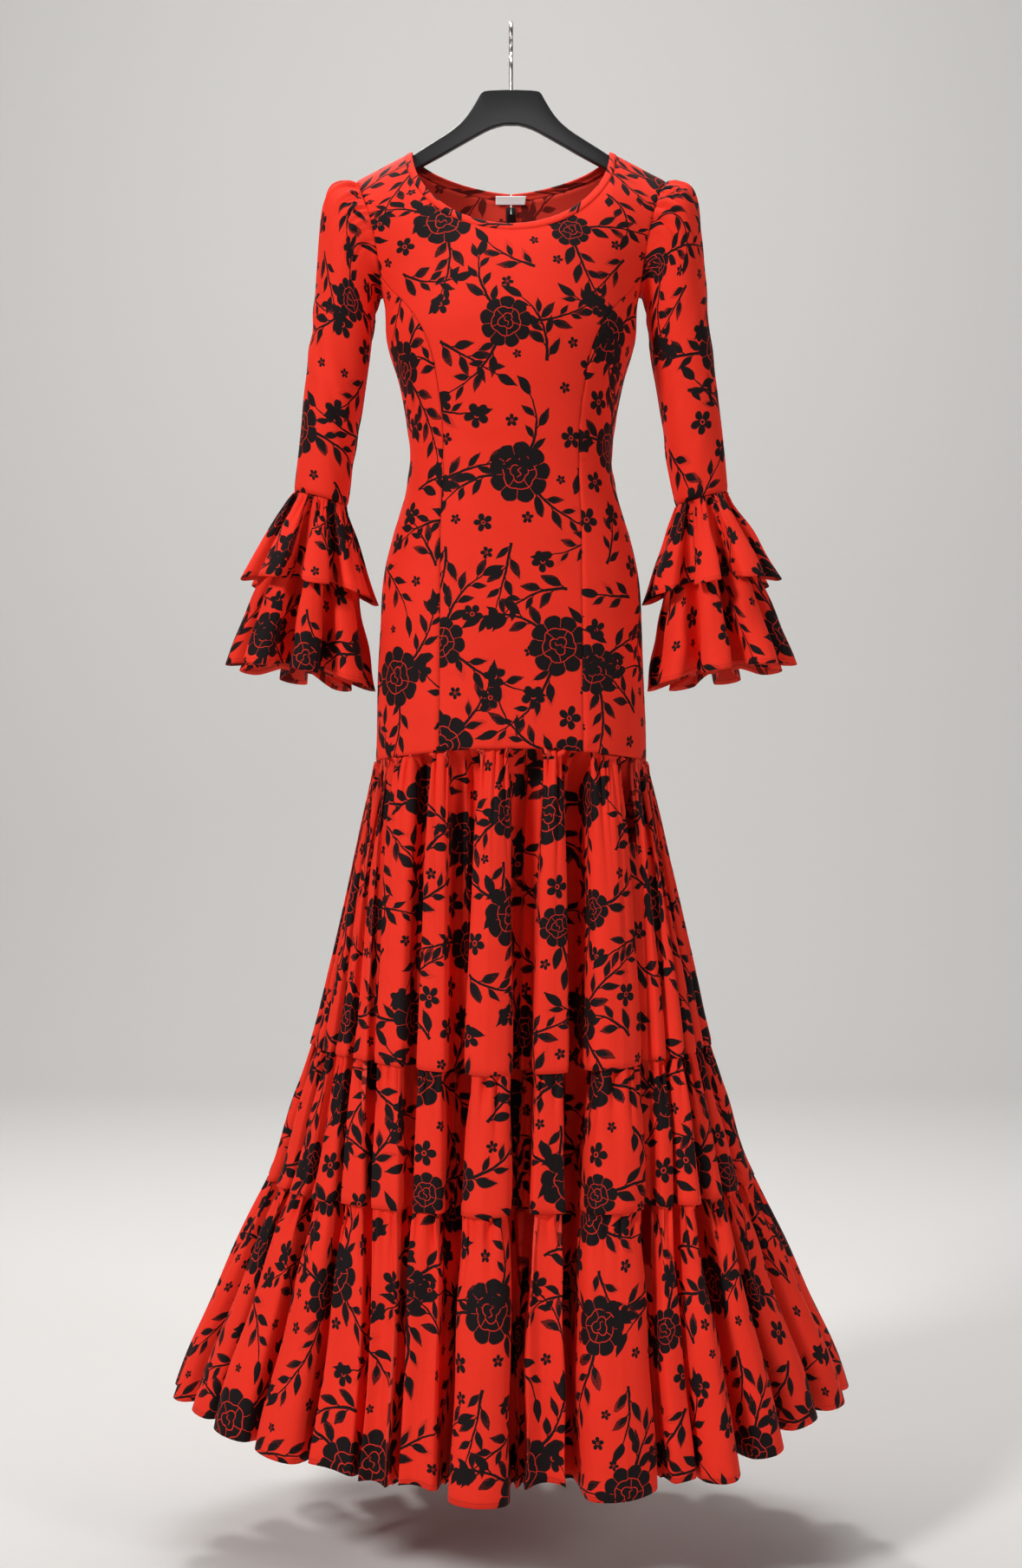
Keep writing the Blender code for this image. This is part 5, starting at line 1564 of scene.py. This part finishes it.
class DRESS_OT_hanger(bpy.types.Operator):
    """Builds the moulded hanger and its steel hook."""

    bl_idname = "dress.hanger"
    bl_label = "Hanger"

    def execute(self, context):
        colours = context.scene.dress_colours
        # satin plastic with a faint mould texture
        plastic = textured("moulded satin polystyrene", colours.plastic, 0.42, 1500, 0.00003)
        steel = textured("polished steel wire", colours.hook, 0.3, 900, 0.000004, metallic=1.0)
        # one arm, drawn out of an upright edge section by section
        rows = HANGER.rows * MM
        bpy.ops.object.select_all(action="DESELECT")
        bpy.ops.mesh.primitive_plane_add(size=1, rotation=(math.pi / 2, 0, 0))
        arm = context.active_object
        first, second = rows[0], rows[1]
        arm.scale = (second[0] - first[0], first[1] - first[2], 1)
        arm.location = ((first[0] + second[0]) / 2, 0, (first[1] + first[2]) / 2)
        bpy.ops.object.transform_apply(location=True, rotation=True, scale=True)
        select_only_edge(arm, lambda place: place.x > first[0] + 1e-5)
        start_editing("EDGE")
        tall, middle = first[1] - first[2], (first[1] + first[2]) / 2
        for row in rows[2:]:
            at, goal, goal_tall = row[0], (row[1] + row[2]) / 2, row[1] - row[2]
            move = (at - second[0], 0, goal - middle)
            bpy.ops.mesh.extrude_region_move(TRANSFORM_OT_translate={"value": move})
            bpy.ops.transform.resize(value=(1, 1, goal_tall / tall), center_override=(at, 0, goal))
            second, tall, middle = row, goal_tall, goal
        bpy.ops.object.mode_set(mode="OBJECT")
        mirror = arm.modifiers.new("Other arm", "MIRROR")
        mirror.use_clip = True
        solid = arm.modifiers.new("Thickness", "SOLIDIFY")
        solid.thickness = HANGER_THICKNESS * MM
        solid.offset = 0
        edge = arm.modifiers.new("Edge", "BEVEL")
        edge.width = HANGER_EDGE * MM
        edge.segments = 4
        edge.angle_limit = math.radians(50)
        apply_modifiers(arm)
        arm.select_set(True)
        context.view_layer.objects.active = arm
        finish_piece(arm, "hanger_arms", plastic, "hanger_body")
        # the wire leaves the hanger straight, swings back and bends round the rail
        bpy.ops.object.select_all(action="DESELECT")
        bpy.ops.mesh.primitive_circle_add(
            vertices=20, radius=HOOK_WIRE * MM, fill_type="NGON", location=(0, 0, HOOK_FOOT * MM)
        )
        hook = context.active_object
        bpy.ops.object.transform_apply(location=True)
        start_editing("VERT")
        bpy.ops.mesh.select_all(action="SELECT")
        swing, bend = math.radians(-HOOK_START), math.radians(HOOK_BEND)
        radius = HOOK_INSIDE + HOOK_WIRE
        turn_in = -HOOK_INSIDE - radius * math.sin(swing) - HOOK_TURN_IN * math.sin(swing)
        rise = (0, 0, (turn_in - HOOK_FOOT) * MM)
        bpy.ops.mesh.extrude_region_move(TRANSFORM_OT_translate={"value": rise})
        swing_centre = (0, HOOK_TURN_IN * MM, turn_in * MM)
        bpy.ops.mesh.spin(steps=12, angle=swing, center=swing_centre, axis=(1, 0, 0))
        bpy.ops.mesh.spin(steps=60, angle=bend, center=(0, 0, -HOOK_INSIDE * MM), axis=(-1, 0, 0))
        finish_piece(hook, "hanger_wire", steel, "hanger_hook")
        return {"FINISHED"}


# ---------------------------------------------------------------- stage
# Each light's name, place, what it points at, power in watts and the width of its disk.
LIGHTS = (
    ("key", (-2.8, -3.0, 1.4), (0, 0, -0.85), 134, 0.9),
    ("fill", (2.9, -3.0, 0.3), (0, 0, -0.8), 42, 1.0),
    ("back", (-0.9, 2.1, 1.9), (0, 0, -0.2), 40, 0.5),
    ("backdrop", (0, 0.6, 2.6), (0, 5.0, -1.0), 130, 3.0),
)
# A small soft spot that reaches the inside of the back through the neck.
NECK_SPOT = ("neck", (0, -2.2, 0.25), (0, 0.06, -0.185), 42)
NECK_SPOT_SHAPE = (0.08, 6)  # its lamp's radius, and its cone's width in degrees
FLOOR_SIZE = 14
FLOOR_PLACE = (0, -3.4, -1.74)
SWEEP_CENTRE = (0, 3.6, -0.24)
WALL_HEIGHT = 7
CAMERA_PLACE = (0, -2.5, -0.874)
CAMERA_FRAME = 36
CAMERA_LENS = CAMERA_FRAME * 2500 / 1808


def add_light(kind, name, place, towards, power):
    bpy.ops.object.light_add(type=kind, location=place)
    light = bpy.context.active_object
    light.name = name
    light.data.energy = power
    aim = mathutils.Vector(towards) - light.location
    light.rotation_euler = aim.to_track_quat("-Z", "Y").to_euler()
    return light.data


class DRESS_OT_stage(bpy.types.Operator):
    """Sets up the pale floor that sweeps up behind, the soft lights and the camera."""

    bl_idname = "dress.stage"
    bl_label = "Stage"

    def execute(self, context):
        scene = context.scene
        bpy.ops.object.select_all(action="DESELECT")
        bpy.ops.mesh.primitive_plane_add(size=FLOOR_SIZE, location=FLOOR_PLACE)
        floor = context.active_object
        floor.name = "floor"
        bpy.ops.object.transform_apply(location=True)
        select_only_edge(floor, lambda place: place.y > 0)
        start_editing("EDGE")
        bpy.ops.mesh.spin(steps=16, angle=math.pi / 2, center=SWEEP_CENTRE, axis=(-1, 0, 0))
        bpy.ops.mesh.extrude_region_move(TRANSFORM_OT_translate={"value": (0, 0, WALL_HEIGHT)})
        bpy.ops.object.mode_set(mode="OBJECT")
        bpy.ops.object.shade_smooth()
        floor.data.materials.append(plain("pale matt floor", "#E3E1DE", 0.9)[0])
        for *light, width in LIGHTS:
            made = add_light("AREA", *light)
            made.shape = "DISK"
            made.size = width
        spot = add_light("SPOT", *NECK_SPOT)
        spot.shadow_soft_size = NECK_SPOT_SHAPE[0]
        spot.spot_size = math.radians(NECK_SPOT_SHAPE[1])
        spot.spot_blend = 1.0
        world = bpy.data.worlds.new("pale studio")
        world.use_nodes = True
        shade = world.node_tree.nodes["Background"]
        shade.inputs["Color"].default_value = linear("#E9E8E6")
        # a dim room, so that the folds stay deep
        shade.inputs["Strength"].default_value = 0.05
        scene.world = world
        scene.view_settings.view_transform = "Standard"
        camera = bpy.data.cameras.new("camera")
        camera.sensor_fit = "VERTICAL"
        camera.sensor_height = CAMERA_FRAME
        camera.lens = CAMERA_LENS
        view = bpy.data.objects.new("camera", camera)
        scene.collection.objects.link(view)
        view.location = CAMERA_PLACE
        view.rotation_euler = (math.pi / 2, 0, 0)
        scene.camera = view
        return {"FINISHED"}


class DRESS_PT_panel(bpy.types.Panel):
    """Lists the dress's pieces with their sizes and colours."""

    bl_idname = "DRESS_PT_panel"
    bl_label = "Flamenco dress"
    bl_space_type = "VIEW_3D"
    bl_region_type = "UI"
    bl_category = "Dress"

    def draw(self, context):
        for name in ("dress_sizes", "dress_colours"):
            group = getattr(context.scene, name)
            box = self.layout.box()
            for prop in group.bl_rna.properties:
                if prop.identifier not in ("rna_type", "name"):
                    box.prop(group, prop.identifier)
        for operator in OPERATORS:
            self.layout.operator(operator.bl_idname)


OPERATORS = (
    DRESS_OT_bodice,
    DRESS_OT_neck,
    DRESS_OT_sleeves,
    DRESS_OT_ruffles,
    DRESS_OT_skirt,
    DRESS_OT_zip,
    DRESS_OT_hanger,
    DRESS_OT_stage,
)
CLASSES = (DRESS_sizes, DRESS_colours, *OPERATORS, DRESS_PT_panel)


def register():
    for found in CLASSES:
        bpy.utils.register_class(found)
    bpy.types.Scene.dress_sizes = bpy.props.PointerProperty(type=DRESS_sizes)
    bpy.types.Scene.dress_colours = bpy.props.PointerProperty(type=DRESS_colours)


def unregister():
    del bpy.types.Scene.dress_sizes
    del bpy.types.Scene.dress_colours
    for found in reversed(CLASSES):
        bpy.utils.unregister_class(found)


def main():
    register()
    for operator in OPERATORS:
        group, name = operator.bl_idname.split(".")
        getattr(getattr(bpy.ops, group), name)()
    bpy.context.view_layer.update()


if __name__ == "__main__":
    main()
